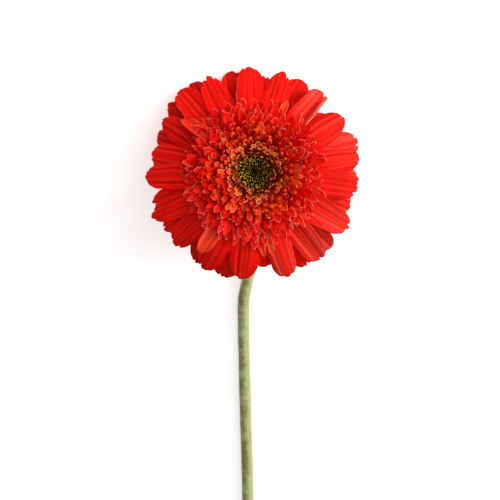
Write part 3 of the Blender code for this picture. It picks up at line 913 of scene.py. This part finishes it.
def ray_shape(dice, number, reach):
    """One floret's own character: lengths in mm, angles in radians, places across from -1 to 1."""
    return {
        "reach": reach,
        "layer": 0.55 * (number % 2) + dice.uniform(-0.15, 0.15),
        "arch": dice.uniform(-0.5, 0.7),
        "droop": dice.uniform(-1.2, 1.4),
        "wide": dice.uniform(0.92, 1.08),
        "cup": dice.uniform(-0.32, 0.12),
        "twist": math.radians(dice.uniform(1.0, 10.0)),
        "bend": dice.uniform(-1.4, 1.4),
        "phase": dice.uniform(0.0, math.tau),
        "grooves": [
            (dice.uniform(-0.55, -0.25), dice.uniform(0.25, 1.0)),
            (dice.uniform(-0.1, 0.1), dice.uniform(0.0, 0.7)),
            (dice.uniform(0.25, 0.55), dice.uniform(0.25, 1.0)),
        ],
        "teeth": [
            (dice.uniform(-0.42, -0.1), dice.uniform(0.0, 0.9)),
            (dice.uniform(0.1, 0.42), dice.uniform(0.0, 0.9)),
            (dice.uniform(-0.7, 0.7), dice.uniform(0.0, 0.25)),
        ],
        "point": dice.choice((0.0, 0.0, 0.6, 1.6)),
        "tone": dice.random(),
        "pale": dice.choice((0.0, 0.3, 0.6, 1.0)),
        "pale_side": dice.choice((-1.0, 1.0)),
        "bleach": 0.0,
        "roll": 0.0,
        "roll_side": 1.0,
        "fold": 0.0,
        "fold_side": 1.0,
    }


class GerberaRays(PropertyGroup):
    blade_width: a_length("Blade width", "Widest part of a ray floret", 15.4)
    thickness: a_length("Thickness", "Thickness of a ray floret", 0.34)
    groove_depth: a_length("Groove depth", "Depth of the lengthwise grooves", 0.75)
    notch_depth: a_length("Notch depth", "Depth of the notches in the tip", 1.4)
    tip_rounding: a_length("Tip rounding", "How far the tip's corners stand back", 5.25)
    seed: a_count("Seed", "Seed of the florets' differences", 5)
    deep_colour: a_colour("Deep colour", "Scarlet in the shade", 0.54, 0.001, 0.0008)
    bright_colour: a_colour("Bright colour", "Scarlet in the light", 0.88, 0.003, 0.0025)
    standing_colour: a_colour("Standing colour", "Orange-red of the petals that stand out", 1.0, 0.075, 0.026)
    # The veins' own orange-red, and painted highlight where the same colour runs along the ridges beside the
    # grooves.
    vein_and_ridge_highlight_colour: a_colour("Ridge colour", "Orange-red of the raised veins", 0.98, 0.058, 0.020)
    # Painted light: this light salmon is painted on the tips of the rays on the key light's side.
    painted_tip_light_colour: a_colour("Bleached colour", "Light salmon of the worn tips", 1.0, 0.15, 0.10)
    under_colour: a_colour("Underside colour", "Salmon of the undersides", 0.88, 0.15, 0.09)
    under_vein_colour: a_colour("Underside veins", "Deeper veins of the undersides", 0.70, 0.045, 0.03)
    rim_colour: a_colour("Rim colour", "Pale pink of the very edge", 0.98, 0.30, 0.20)


class GERBERA_OT_rays(Operator):
    """Makes the ray florets: two rows of long, grooved petals with notched tips"""

    bl_idname = "gerbera.rays"
    bl_label = "Ray Florets"

    def execute(self, context):
        sizes = context.scene.gerbera_rays
        finish = petal_material("ray_petal", sizes, 0.6, sizes.bright_colour, 0.8)
        dice = random.Random(sizes.seed)
        for row_name, row in RAY_ROWS.items():
            for number, (degrees, reach) in enumerate(RAY_TIPS[row_name]):
                label = f"{row_name}_{number + 1:02d}"
                shape = ray_shape(dice, number, reach) | RAY_CHARACTERS.get(label, {})
                points, marks = ray_points(row, shape, sizes)
                points = above_surface(placed(points, degrees), row["floor"] * MM)
                thickness = sizes.thickness * (1.0 - 0.45 * marks["across"] ** 4)
                mesh = sheet_mesh(points, thickness, marks)
                add_piece("petal_" + label, mesh, "ray_" + label, finish)
        return {"FINISHED"}


class GERBERA_OT_strays(Operator):
    """Makes the few larger crest petals that stand out over the rays"""

    bl_idname = "gerbera.strays"
    bl_label = "Standing Petals"

    def execute(self, context):
        sizes = context.scene.gerbera_rays
        finish = petal_material("standing_petal", sizes, 1.0, sizes.standing_colour, 0.2)
        dice = random.Random(sizes.seed + 40)
        for number, values in enumerate(STANDING_PETALS):
            own = dict(zip(STANDING_LABELS, values))
            shape = ray_shape(dice, 0, own["reach"]) | STANDING_SHAPE | own
            row = STANDING_ROW | {"tip": own["tip"]}
            points, marks = ray_points(row, shape, sizes, 30, 15)
            points = above_surface(placed(points, own["degrees"]), row["floor"] * MM)
            mesh = sheet_mesh(points, STANDING_THICKNESS, marks)
            add_piece(f"standing_petal_{number + 1}", mesh, "crest_row_1", finish)
        return {"FINISHED"}


# --- crest and disc florets -------------------------------------------------------------


def crest_curve(share, t):
    """Points (radius, height) on the florets' line from seat to tip, for a share from eye to rays."""
    inner = bezier([
        (CREST_SEAT[0], SEAT_GAP), (7.6 * MM, 8.0 * MM), (CREST_RIM[0], CREST_EDGE),
    ], t)
    outer = bezier([
        (CREST_SEAT[1], SEAT_GAP), (CREST_SEAT[1] + 0.4 * MM, 17.5 * MM), (CREST_RIM[1], CREST_EDGE),
    ], t)
    line = inner * (1.0 - share) + outer * share
    line[..., 1] += CREST_CROWN * 4.0 * share * (1.0 - share) * t**2
    return line


def floret_mesh(look, share, dice):
    """One small floret standing along +X: a narrow tube at the foot that opens into a lip."""
    fine = np.linspace(0.0, 1.0, 161)
    middle = (fine[1:] + fine[:-1]) / 2.0
    line = crest_curve(share, fine)
    pieces = np.diff(line, axis=0)
    lengths = np.hypot(pieces[:, 0], pieces[:, 1])
    lengths *= (lengths.sum() + look["longer"] * MM) / lengths.sum()
    total = lengths.sum()
    broad, rim_width = look["width"] * MM, look["rim"] * MM
    # The floret's line, with its tip curled in.
    curl_from = 1.0 - look["curl_length"] * MM / total
    curled = np.clip((middle - curl_from) / (1.0 - curl_from), 0.0, 1.0)
    heading = np.arctan2(pieces[:, 1], pieces[:, 0]) + look["curl"] * curled
    walk = np.cumsum(np.stack([np.cos(heading), np.sin(heading)], -1) * lengths[:, None], 0)
    walk = np.concatenate([[[0.0, 0.0]], walk]) + line[0]
    # The grid: a strip as wide as the rim runs along each edge.
    steps = 1.0 - np.array([total, 0.5 * total, 4.8 * MM, 3.0 * MM, 1.5 * MM, rim_width, 0.0]) / total
    inset = 1.0 - 2.0 * rim_width / broad
    sides = np.array([-1.0, -inset, -0.55, -0.15, 0.15, 0.55, inset, 1.0])
    along, across = np.meshgrid(steps, sides, indexing="ij")
    to_tip = (1.0 - along) * total
    back = look["round"] * (1.0 - np.sqrt(1.0 - 0.9 * across**2)) + look["point"] * np.abs(across)
    where = np.clip(along - back * broad * smooth(0.5, 1.0, along) / total, 0.0, 1.0)
    radius, height = (np.interp(where, fine, walk[:, axis]) for axis in (0, 1))
    angle = np.interp(where, middle, heading)
    opening = smooth(*TUBE_TO_LIP, to_tip)
    width = TUBE_WIDTH * (1.0 - opening) + broad * opening
    width *= 1.0 - look["narrow"] * smooth(2.0 * MM, 0.0, to_tip)
    curve = look["cup"] * opening + 2.0 * (1.0 - opening)
    bend = width / (2.0 * curve)
    side = bend * np.sin(across * curve) + dice.uniform(-0.3, 0.3) * MM * smooth(0.4, 1.0, along)
    lift = bend * (1.0 - np.cos(across * curve))
    points = np.stack([radius - np.sin(angle) * lift, side, height + np.cos(angle) * lift], -1)
    edge = (along > 0.9999) | (np.abs(across) > 0.999)
    rim = edge * smooth(2.6 * MM, 1.0 * MM, to_tip)
    marks = {"along": smooth(7.0 * MM, 0.0, to_tip), "across": across, "rim": rim}
    return sheet_mesh(points, look["thick"] * MM * np.where(edge, 0.35, 1.0), marks)


def add_floret_rings(rings, sizes, first):
    """Makes rings of florets, each a piece that stands for a node of the frame."""
    finishes = {name: floret_material(name, sizes) for name in dict.fromkeys(ring[-1] for ring in rings)}
    for number, (name, radius, count, looks, node, finish) in enumerate(rings, first):
        dice = random.Random(sizes.seed * 100 + number)
        share = (radius * MM - CREST_RIM[0]) / (CREST_RIM[1] - CREST_RIM[0])
        looks = [dict(zip(LOOK_LABELS, FLORET_LOOKS[look])) for look in looks.split()]
        mesh = grown_ring([floret_mesh(look, share, dice) for look in looks], {
            "Count": count, "Turn": dice.uniform(0.0, 1.0), "Turn Spread": TURN_SHARE * math.tau / count,
            "Tilt Spread": looks[0]["tilt"], "Size Spread": looks[0]["spread"], "Ruffle": sizes.ruffle,
            "Seed": sizes.seed * 10 + number, "Material": finishes[finish],
        })
        mesh.transform(HEAD @ Matrix.Translation((EYE_SHIFT * (1.0 - share), 0.0, 0.0)))
        add_piece(name, mesh, node)


class GerberaCrest(PropertyGroup):
    ruffle: a_length("Ruffle", "Unevenness of the small florets", 1.1)
    seed: a_count("Seed", "Seed of the florets' differences", 3)
    # Painted shade: the foot's deep red is shade between the crest florets, where they stand close together.
    foot_colour: a_colour("Foot colour", "Deep red between the florets", 0.36, 0.0008, 0.0004)
    body_colour: a_colour("Body colour", "Scarlet of the crest", 0.66, 0.0015, 0.0010)
    tip_colour: a_colour("Tip colour", "Brighter scarlet of the crest's tips", 0.88, 0.017, 0.009)
    knob_colour: a_colour("Knob colour", "Orange of the closed tips", 0.92, 0.078, 0.014)
    rim_colour: a_colour("Rim colour", "Pale pink line along the florets' rims", 1.0, 0.42, 0.32)
    # Painted shade: the dark brown of the disc florets' feet is shade where they stand close together.
    brown_colour: a_colour("Brown colour", "Dark brown feet of the disc florets", 0.13, 0.004, 0.0006)
    amber_colour: a_colour("Amber colour", "Orange-brown of the disc florets", 0.86, 0.043, 0.004)
    gold_colour: a_colour("Gold colour", "Golden orange of the disc florets", 1.0, 0.28, 0.036)
    # Painted highlight: the cream along the disc florets' rims stands for glints where their edges catch the
    # light.
    cream_colour: a_colour("Cream colour", "Cream of the disc florets' rims", 1.0, 0.84, 0.40)


class GERBERA_OT_crest(Operator):
    """Makes the crest: rings of small red florets with thin pale rims"""

    bl_idname = "gerbera.crest"
    bl_label = "Crest Florets"

    def execute(self, context):
        add_floret_rings(CREST_RINGS, context.scene.gerbera_crest, 0)
        return {"FINISHED"}


class GERBERA_OT_disc(Operator):
    """Makes the disc florets: rings of short golden florets that lean in over the eye"""

    bl_idname = "gerbera.disc"
    bl_label = "Disc Florets"

    def execute(self, context):
        add_floret_rings(DISC_RINGS, context.scene.gerbera_crest, 20)
        return {"FINISHED"}


# --- the eye ----------------------------------------------------------------------------


def bud_mesh():
    """One closed bud: a slim drop with six sides, its tip marked for the paler colour."""
    mesh = turned_mesh([
        (0.0, 0.0), (0.2, 0.2), (0.24, 1.6), (0.3, 2.9), (0.26, 3.5), (0.15, 3.85), (0.0, BUD_LENGTH / MM),
    ], 6)
    add_mark(mesh, "along", [v.co.z / BUD_LENGTH for v in mesh.vertices])
    return mesh


class GerberaEye(PropertyGroup):
    buds: a_count("Buds", "Closed buds in the eye", 210, 10)
    crown: a_length("Crown", "How much the eye's middle stands above its edge", 0.6)
    dark_colour: a_colour("Dark colour", "Near-black green between the buds", 0.003, 0.0032, 0.0005)
    middle_colour: a_colour("Middle colour", "Duller olive of the buds", 0.22, 0.14, 0.004)
    tip_colour: a_colour("Tip colour", "Olive of the buds' tips", 0.98, 0.64, 0.02)


class GERBERA_OT_eye(Operator):
    """Makes the eye: a tight spiral of closed dark buds with olive tips, on a dark bed"""

    bl_idname = "gerbera.eye"
    bl_label = "Eye"

    def execute(self, context):
        sizes = context.scene.gerbera_eye
        buds = grown(bud_mesh(), spiral_tree(), {
            "Count": sizes.buds, "Radius": BUDS_RADIUS, "Crown": sizes.crown, "Lean": 1.0,
            "Middle Size": 0.62, "Seed": 4, "Material": bud_material(sizes),
        })
        buds.transform(HEAD @ Matrix.Translation((EYE_SHIFT, 0.0, BUDS_HEIGHT)))
        add_piece("eye_buds", buds, "disc_eye")
        bed = turned_mesh([
            (0.0, 0.3), (4.3, 0.3), (6.2, 5.0), (7.3, 7.4), (7.6, 8.2), (5.0, 8.7), (0.0, 8.9),
        ], 48)
        bed.transform(HEAD)
        lighter = [2.5 * part for part in sizes.dark_colour]
        dark = green_material("eye_bed", sizes.dark_colour, lighter, patches=400.0, gloss=0.03)
        add_piece("eye_bed", bed, "disc_eye", dark)
        return {"FINISHED"}


# --- involucre and receptacle -----------------------------------------------------------


def bract_mesh(look, dice):
    """One pointed green bract that follows the cup round the receptacle, standing along +X."""
    along, across = grid(12, 7)
    clear = look["clear"] * MM
    spine = [
        (NECK_RADIUS + 0.9 * MM, -RECEPTACLE_DEPTH - clear + 0.25 * MM),
        (RECEPTACLE_RADIUS - 0.5 * MM + clear, -RECEPTACLE_DEPTH - clear),
        (RECEPTACLE_RADIUS + clear + 1.0 * MM, -1.5 * MM),
        (RECEPTACLE_RADIUS + clear + look["flare"] * MM, look["tip"] * MM),
    ]
    swell = (0.45 + 0.55 * smooth(0.0, 0.45, along)) * (1.0 - smooth(0.55, 1.02, along)) ** 0.8
    width = np.maximum(look["width"] * MM * swell, 0.12 * MM)
    side = across * width / 2.0 + dice.uniform(-0.3, 0.3) * MM * smooth(0.5, 1.0, along)
    lift = 0.10 * width * across**2 - 0.12 * MM * bell(across, 0.22)
    thickness = 0.5 * MM * (1.0 - 0.5 * across**2) * (1.0 - 0.5 * smooth(0.7, 1.0, along))
    return sheet_mesh(off_spine(spine, along, side, lift), thickness, {"along": along, "across": across})


class GerberaInvolucre(PropertyGroup):
    bracts: a_count("Bracts in a row", "Bracts in each row of the cup", 19, 6)
    seed: a_count("Seed", "Seed of the bracts' differences", 8)
    shaded_colour: a_colour("Shaded colour", "Darker green of the bracts", 0.085, 0.14, 0.03)
    lit_colour: a_colour("Lit colour", "Lighter green of the bracts", 0.20, 0.27, 0.075)
    tip_colour: a_colour("Tip colour", "Reddish brown of the bracts' points", 0.16, 0.05, 0.02)


class GERBERA_OT_involucre(Operator):
    """Makes the green cup under the head: rings of pointed bracts round the receptacle"""

    bl_idname = "gerbera.involucre"
    bl_label = "Involucre"

    def execute(self, context):
        sizes = context.scene.gerbera_involucre
        finish = green_material("bract", sizes.shaded_colour, sizes.lit_colour, sizes.tip_colour, 140.0)
        for number, (name, node, look) in enumerate(BRACT_RINGS):
            dice = random.Random(sizes.seed + number)
            slim = look | {"width": look["width"] * 0.85, "tip": look["tip"] - 0.8}
            mesh = grown_ring([bract_mesh(kind, dice) for kind in (look, slim)], {
                "Count": sizes.bracts, "Turn": number * 0.11, "Turn Spread": 0.03, "Tilt Spread": 0.012,
                "Size Spread": 0.02, "Ruffle": 0.3 * MM, "Seed": sizes.seed + number, "Material": finish,
            })
            mesh.transform(HEAD)
            add_piece(name, mesh, node)
        return {"FINISHED"}


class GERBERA_OT_receptacle(Operator):
    """Gives the frame's receptacle its finish of pale green flesh"""

    bl_idname = "gerbera.receptacle"
    bl_label = "Receptacle"

    def execute(self, context):
        sizes = context.scene.gerbera_involucre
        finish = green_material("receptacle_flesh", sizes.shaded_colour, sizes.lit_colour, patches=200.0)
        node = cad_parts["receptacle"]
        node.data.materials.clear()
        node.data.materials.append(finish)
        return {"FINISHED"}


# --- the stem ---------------------------------------------------------------------------


class GerberaStem(PropertyGroup):
    reach: a_length("Reach", "From under the head to the cut end", 232.0)
    neck_length: a_length("Neck length", "Length of the bent neck", 27.0)
    radius: a_length("Radius", "Radius along the stem", 2.95)
    end_radius: a_length("End radius", "Radius at the cut end", 3.1)
    bow: a_length("Bow", "How far the stem bows sideways", 4.6)
    rib_depth: a_length("Rib depth", "Height of the lengthwise ribs", 0.05)
    dent_depth: a_length("Dent depth", "Unevenness of the stem", 0.5)
    hair_length: a_length("Hair length", "Length of the fine hairs", 0.75)
    hair_density: a_number("Hair density", "Hairs on a square metre", 1.1e6)
    # Painted shade and light: the stem goes from the shaded colour on its side away from the key light to the
    # lit colour on its side towards it, with mottled patches between.
    shaded_colour: a_colour("Shaded colour", "Darker green of the stem", 0.225, 0.20, 0.06)
    lit_colour: a_colour("Lit colour", "Lighter green of the stem", 0.46, 0.51, 0.235)
    pith_colour: a_colour("Pith colour", "Pale pith in the cut end", 0.62, 0.66, 0.42)


def stem_radius(sizes, distance):
    """The stem's radius at distances down from the head; it swells a little under the cup."""
    taper = smooth(0.0, sizes.neck_length * 2, distance)
    share = np.clip((distance - sizes.neck_length * 2) / (sizes.reach - sizes.neck_length * 2), 0.0, 1.0)
    radius = NECK_RADIUS * (1.0 - taper) + sizes.radius * taper + (sizes.end_radius - sizes.radius) * share
    return radius + NECK_SWELL * (1.0 - smooth(0.0, SWELL_LENGTH, distance))


def stem_curve(sizes):
    """The stem's middle line from the head's foot to the cut end; its radii close it like a lid."""
    foot = HEAD.translation - HEAD_AXIS * (RECEPTACLE_DEPTH + SEAT_GAP)
    angles = math.asin(HEAD_AXIS.z) * (1.0 - smooth(0.0, 1.0, (np.arange(NECK_STEPS) + 0.5) / NECK_STEPS))
    steps = np.stack([np.cos(angles), np.sin(angles)]) * sizes.neck_length / NECK_STEPS
    neck, drop = np.concatenate([[[0.0], [0.0]], np.cumsum(steps, 1)], 1)
    distance = np.concatenate([neck, np.linspace(neck[-1], sizes.reach, LEVEL_STEPS + 1)[1:]])
    height = np.concatenate([foot.z - drop, np.zeros(LEVEL_STEPS)])
    radii = stem_radius(sizes, distance)
    out, back = (smooth(start * MM, end * MM, distance) for start, end in (BOW_OUT, BOW_BACK))
    places = np.stack([
        foot.x - sizes.bow * (out - BOW_BACK_SHARE * back),
        foot.y - distance,
        np.maximum(height, radii + STEM_CLEARANCE),
    ], 1)
    beyond, shares = np.array(STEM_LID).T
    lid = places[-1] - np.outer(beyond * MM, (0.0, 1.0, 0.0))
    places = np.concatenate([places, lid])
    radii = np.concatenate([radii, radii[-1] * shares])
    curve = bpy.data.curves.new("stem_route", "CURVE")
    curve.dimensions = "3D"
    spline = curve.splines.new("POLY")
    spline.points.add(len(places) - 1)
    for point, place, radius in zip(spline.points, places, radii):
        point.co = (*place, 1.0)
        point.radius = radius
    return curve


class GERBERA_OT_stem(Operator):
    """Makes the stem: a ribbed, mottled tube with a bent neck and a plainly cut end"""

    bl_idname = "gerbera.stem"
    bl_label = "Stem"

    def execute(self, context):
        sizes = context.scene.gerbera_stem
        mesh = grown(stem_curve(sizes), stem_tree(), {
            "Sides": 40, "Ribs": 11.0, "Rib Depth": sizes.rib_depth, "Dent Depth": sizes.dent_depth,
            "Material": stem_material(sizes),
        })
        mesh.shade_smooth()
        mesh.set_sharp_from_angle(angle=math.radians(35.0))
        add_piece("stem_tube", mesh, "stem")
        lighter = [min(1.0, part * 1.5) for part in sizes.lit_colour]
        finish = green_material("stem_hair", sizes.lit_colour, lighter)
        hairs = grown(mesh.copy(), hair_tree(), {
            "Density": sizes.hair_density, "Length": sizes.hair_length, "Thickness": 0.03 * MM,
            "Lowest Normal": -0.55, "Seed": 2, "Material": finish,
        })
        add_piece("stem_hairs", hairs, "stem")
        return {"FINISHED"}


# --- floor, lights and camera -----------------------------------------------------------


class GerberaStage(PropertyGroup):
    floor_colour: a_colour("Floor colour", "Pale floor", 0.93, 0.93, 0.93)
    floor_glow: a_number("Floor glow", "Light that the floor itself gives", 0.49)
    key_power: a_number("Key light", "Power of the soft light from the right", 7.0, "POWER")
    fill_power: a_number("Fill light", "Power of the soft light from above", 3.4, "POWER")
    world_strength: a_number("Surroundings", "Strength of the white surroundings", 0.38)
    lens: a_number("Lens", "Focal length of the camera", 135.0, "CAMERA")
    view_width: a_length("View width", "Width that the camera sees at the head", 237.0)


def add_floor(sizes):
    corners = [(x * FLOOR_HALF, y * FLOOR_HALF, 0.0) for x, y in ((-1, -1), (1, -1), (1, 1), (-1, 1))]
    mesh = bpy.data.meshes.new("floor")
    mesh.from_pydata(corners, [], [(0, 1, 2, 3)])
    made, tree, shader = new_material("floor_paint", 0.8, 0.1)
    noise = tree.out("ShaderNodeTexNoise", {"Scale": 4.0}, "Fac")
    darker = [part * 0.985 for part in sizes.floor_colour]
    tree.fill(shader["Base Color"], tree.mix(noise, darker, sizes.floor_colour))
    tree.fill(shader["Emission Color"], WHITE)
    tree.fill(shader["Emission Strength"], sizes.floor_glow)
    mesh.materials.append(made)
    floor = add_object("floor", mesh)


def add_surroundings(sizes, scene):
    """White surroundings: full white to the camera, softer as light."""
    world = bpy.data.worlds.new("surroundings")
    world.use_nodes = True
    tree = Tree(world.node_tree)
    background = world.node_tree.nodes["Background"].inputs
    seen = tree.out("ShaderNodeLightPath", output="Is Camera Ray")
    tree.fill(background["Color"], WHITE)
    tree.fill(background["Strength"], tree.ranged(seen, 0.0, 1.0, sizes.world_strength, 1.0, "LINEAR"))
    scene.world = world
    scene.view_settings.view_transform = "Standard"
    scene.view_settings.look = "None"


def add_light(name, place, target, size, power):
    data = bpy.data.lights.new(name, "AREA")
    data.shape = "DISK"
    data.size = size
    data.energy = power
    light = add_object(name, data)
    light.location = place
    light.rotation_euler = (target - place).to_track_quat("-Z", "Y").to_euler()


class GERBERA_OT_stage(Operator):
    """Sets out the floor, the soft lights and the camera that looks straight at the head"""

    bl_idname = "gerbera.stage"
    bl_label = "Stage"

    def execute(self, context):
        scene = context.scene
        sizes = scene.gerbera_stage
        add_floor(sizes)
        add_surroundings(sizes, scene)
        centre = HEAD @ Vector((0.0, 0.0, AIM_HEIGHT))
        up = HEAD.to_3x3() @ Vector((0.0, 1.0, 0.0))
        side = Vector((1.0, 0.0, 0.0))
        for name, light in LIGHTS.items():
            aside, above, upward = light["place"]
            place = centre + side * aside + HEAD_AXIS * above + up * upward
            add_light(name, place, centre, light["size"], getattr(sizes, name + "_power"))
        camera_data = bpy.data.cameras.new("camera")
        camera_data.lens = sizes.lens
        camera_data.clip_start = 0.01
        camera_data.clip_end = 20.0
        place = centre + HEAD_AXIS * (sizes.view_width * sizes.lens / camera_data.sensor_width)
        target = centre - up * (AIM_BELOW * sizes.view_width) - side * (AIM_BESIDE * sizes.view_width)
        back = (place - target).normalized()
        right = up.cross(back).normalized()
        turn = Matrix((right, back.cross(right), back)).transposed().to_4x4()
        camera = add_object("camera", camera_data)
        camera.matrix_world = Matrix.Translation(place) @ turn
        scene.camera = camera
        return {"FINISHED"}


class GERBERA_PT_panel(Panel):
    """Lists the flower's parts in the order that they are made"""

    bl_label = "Cut Gerbera"
    bl_idname = "GERBERA_PT_panel"
    bl_space_type = "VIEW_3D"
    bl_region_type = "UI"
    bl_category = "Gerbera"

    def draw(self, context):
        for operator in OPERATORS:
            self.layout.operator(operator.bl_idname)
        for group, settings in SETTINGS.items():
            box = self.layout.box()
            for label in settings.__annotations__:
                box.prop(getattr(context.scene, group), label)


SETTINGS = {
    "gerbera_rays": GerberaRays,
    "gerbera_crest": GerberaCrest,
    "gerbera_eye": GerberaEye,
    "gerbera_involucre": GerberaInvolucre,
    "gerbera_stem": GerberaStem,
    "gerbera_stage": GerberaStage,
}
OPERATORS = (
    GERBERA_OT_receptacle, GERBERA_OT_involucre, GERBERA_OT_rays, GERBERA_OT_crest,
    GERBERA_OT_strays, GERBERA_OT_disc, GERBERA_OT_eye, GERBERA_OT_stem, GERBERA_OT_stage,
)


def register():
    for group, settings in SETTINGS.items():
        bpy.utils.register_class(settings)
        setattr(bpy.types.Scene, group, PointerProperty(type=settings))
    for operator in OPERATORS:
        bpy.utils.register_class(operator)
    bpy.utils.register_class(GERBERA_PT_panel)


def unregister():
    bpy.utils.unregister_class(GERBERA_PT_panel)
    for operator in reversed(OPERATORS):
        bpy.utils.unregister_class(operator)
    for group, settings in reversed(SETTINGS.items()):
        delattr(bpy.types.Scene, group)
        bpy.utils.unregister_class(settings)


def main():
    register()
    for operator in OPERATORS:
        family, name = operator.bl_idname.split(".")
        getattr(getattr(bpy.ops, family), name)()


if __name__ == "__main__":
    main()
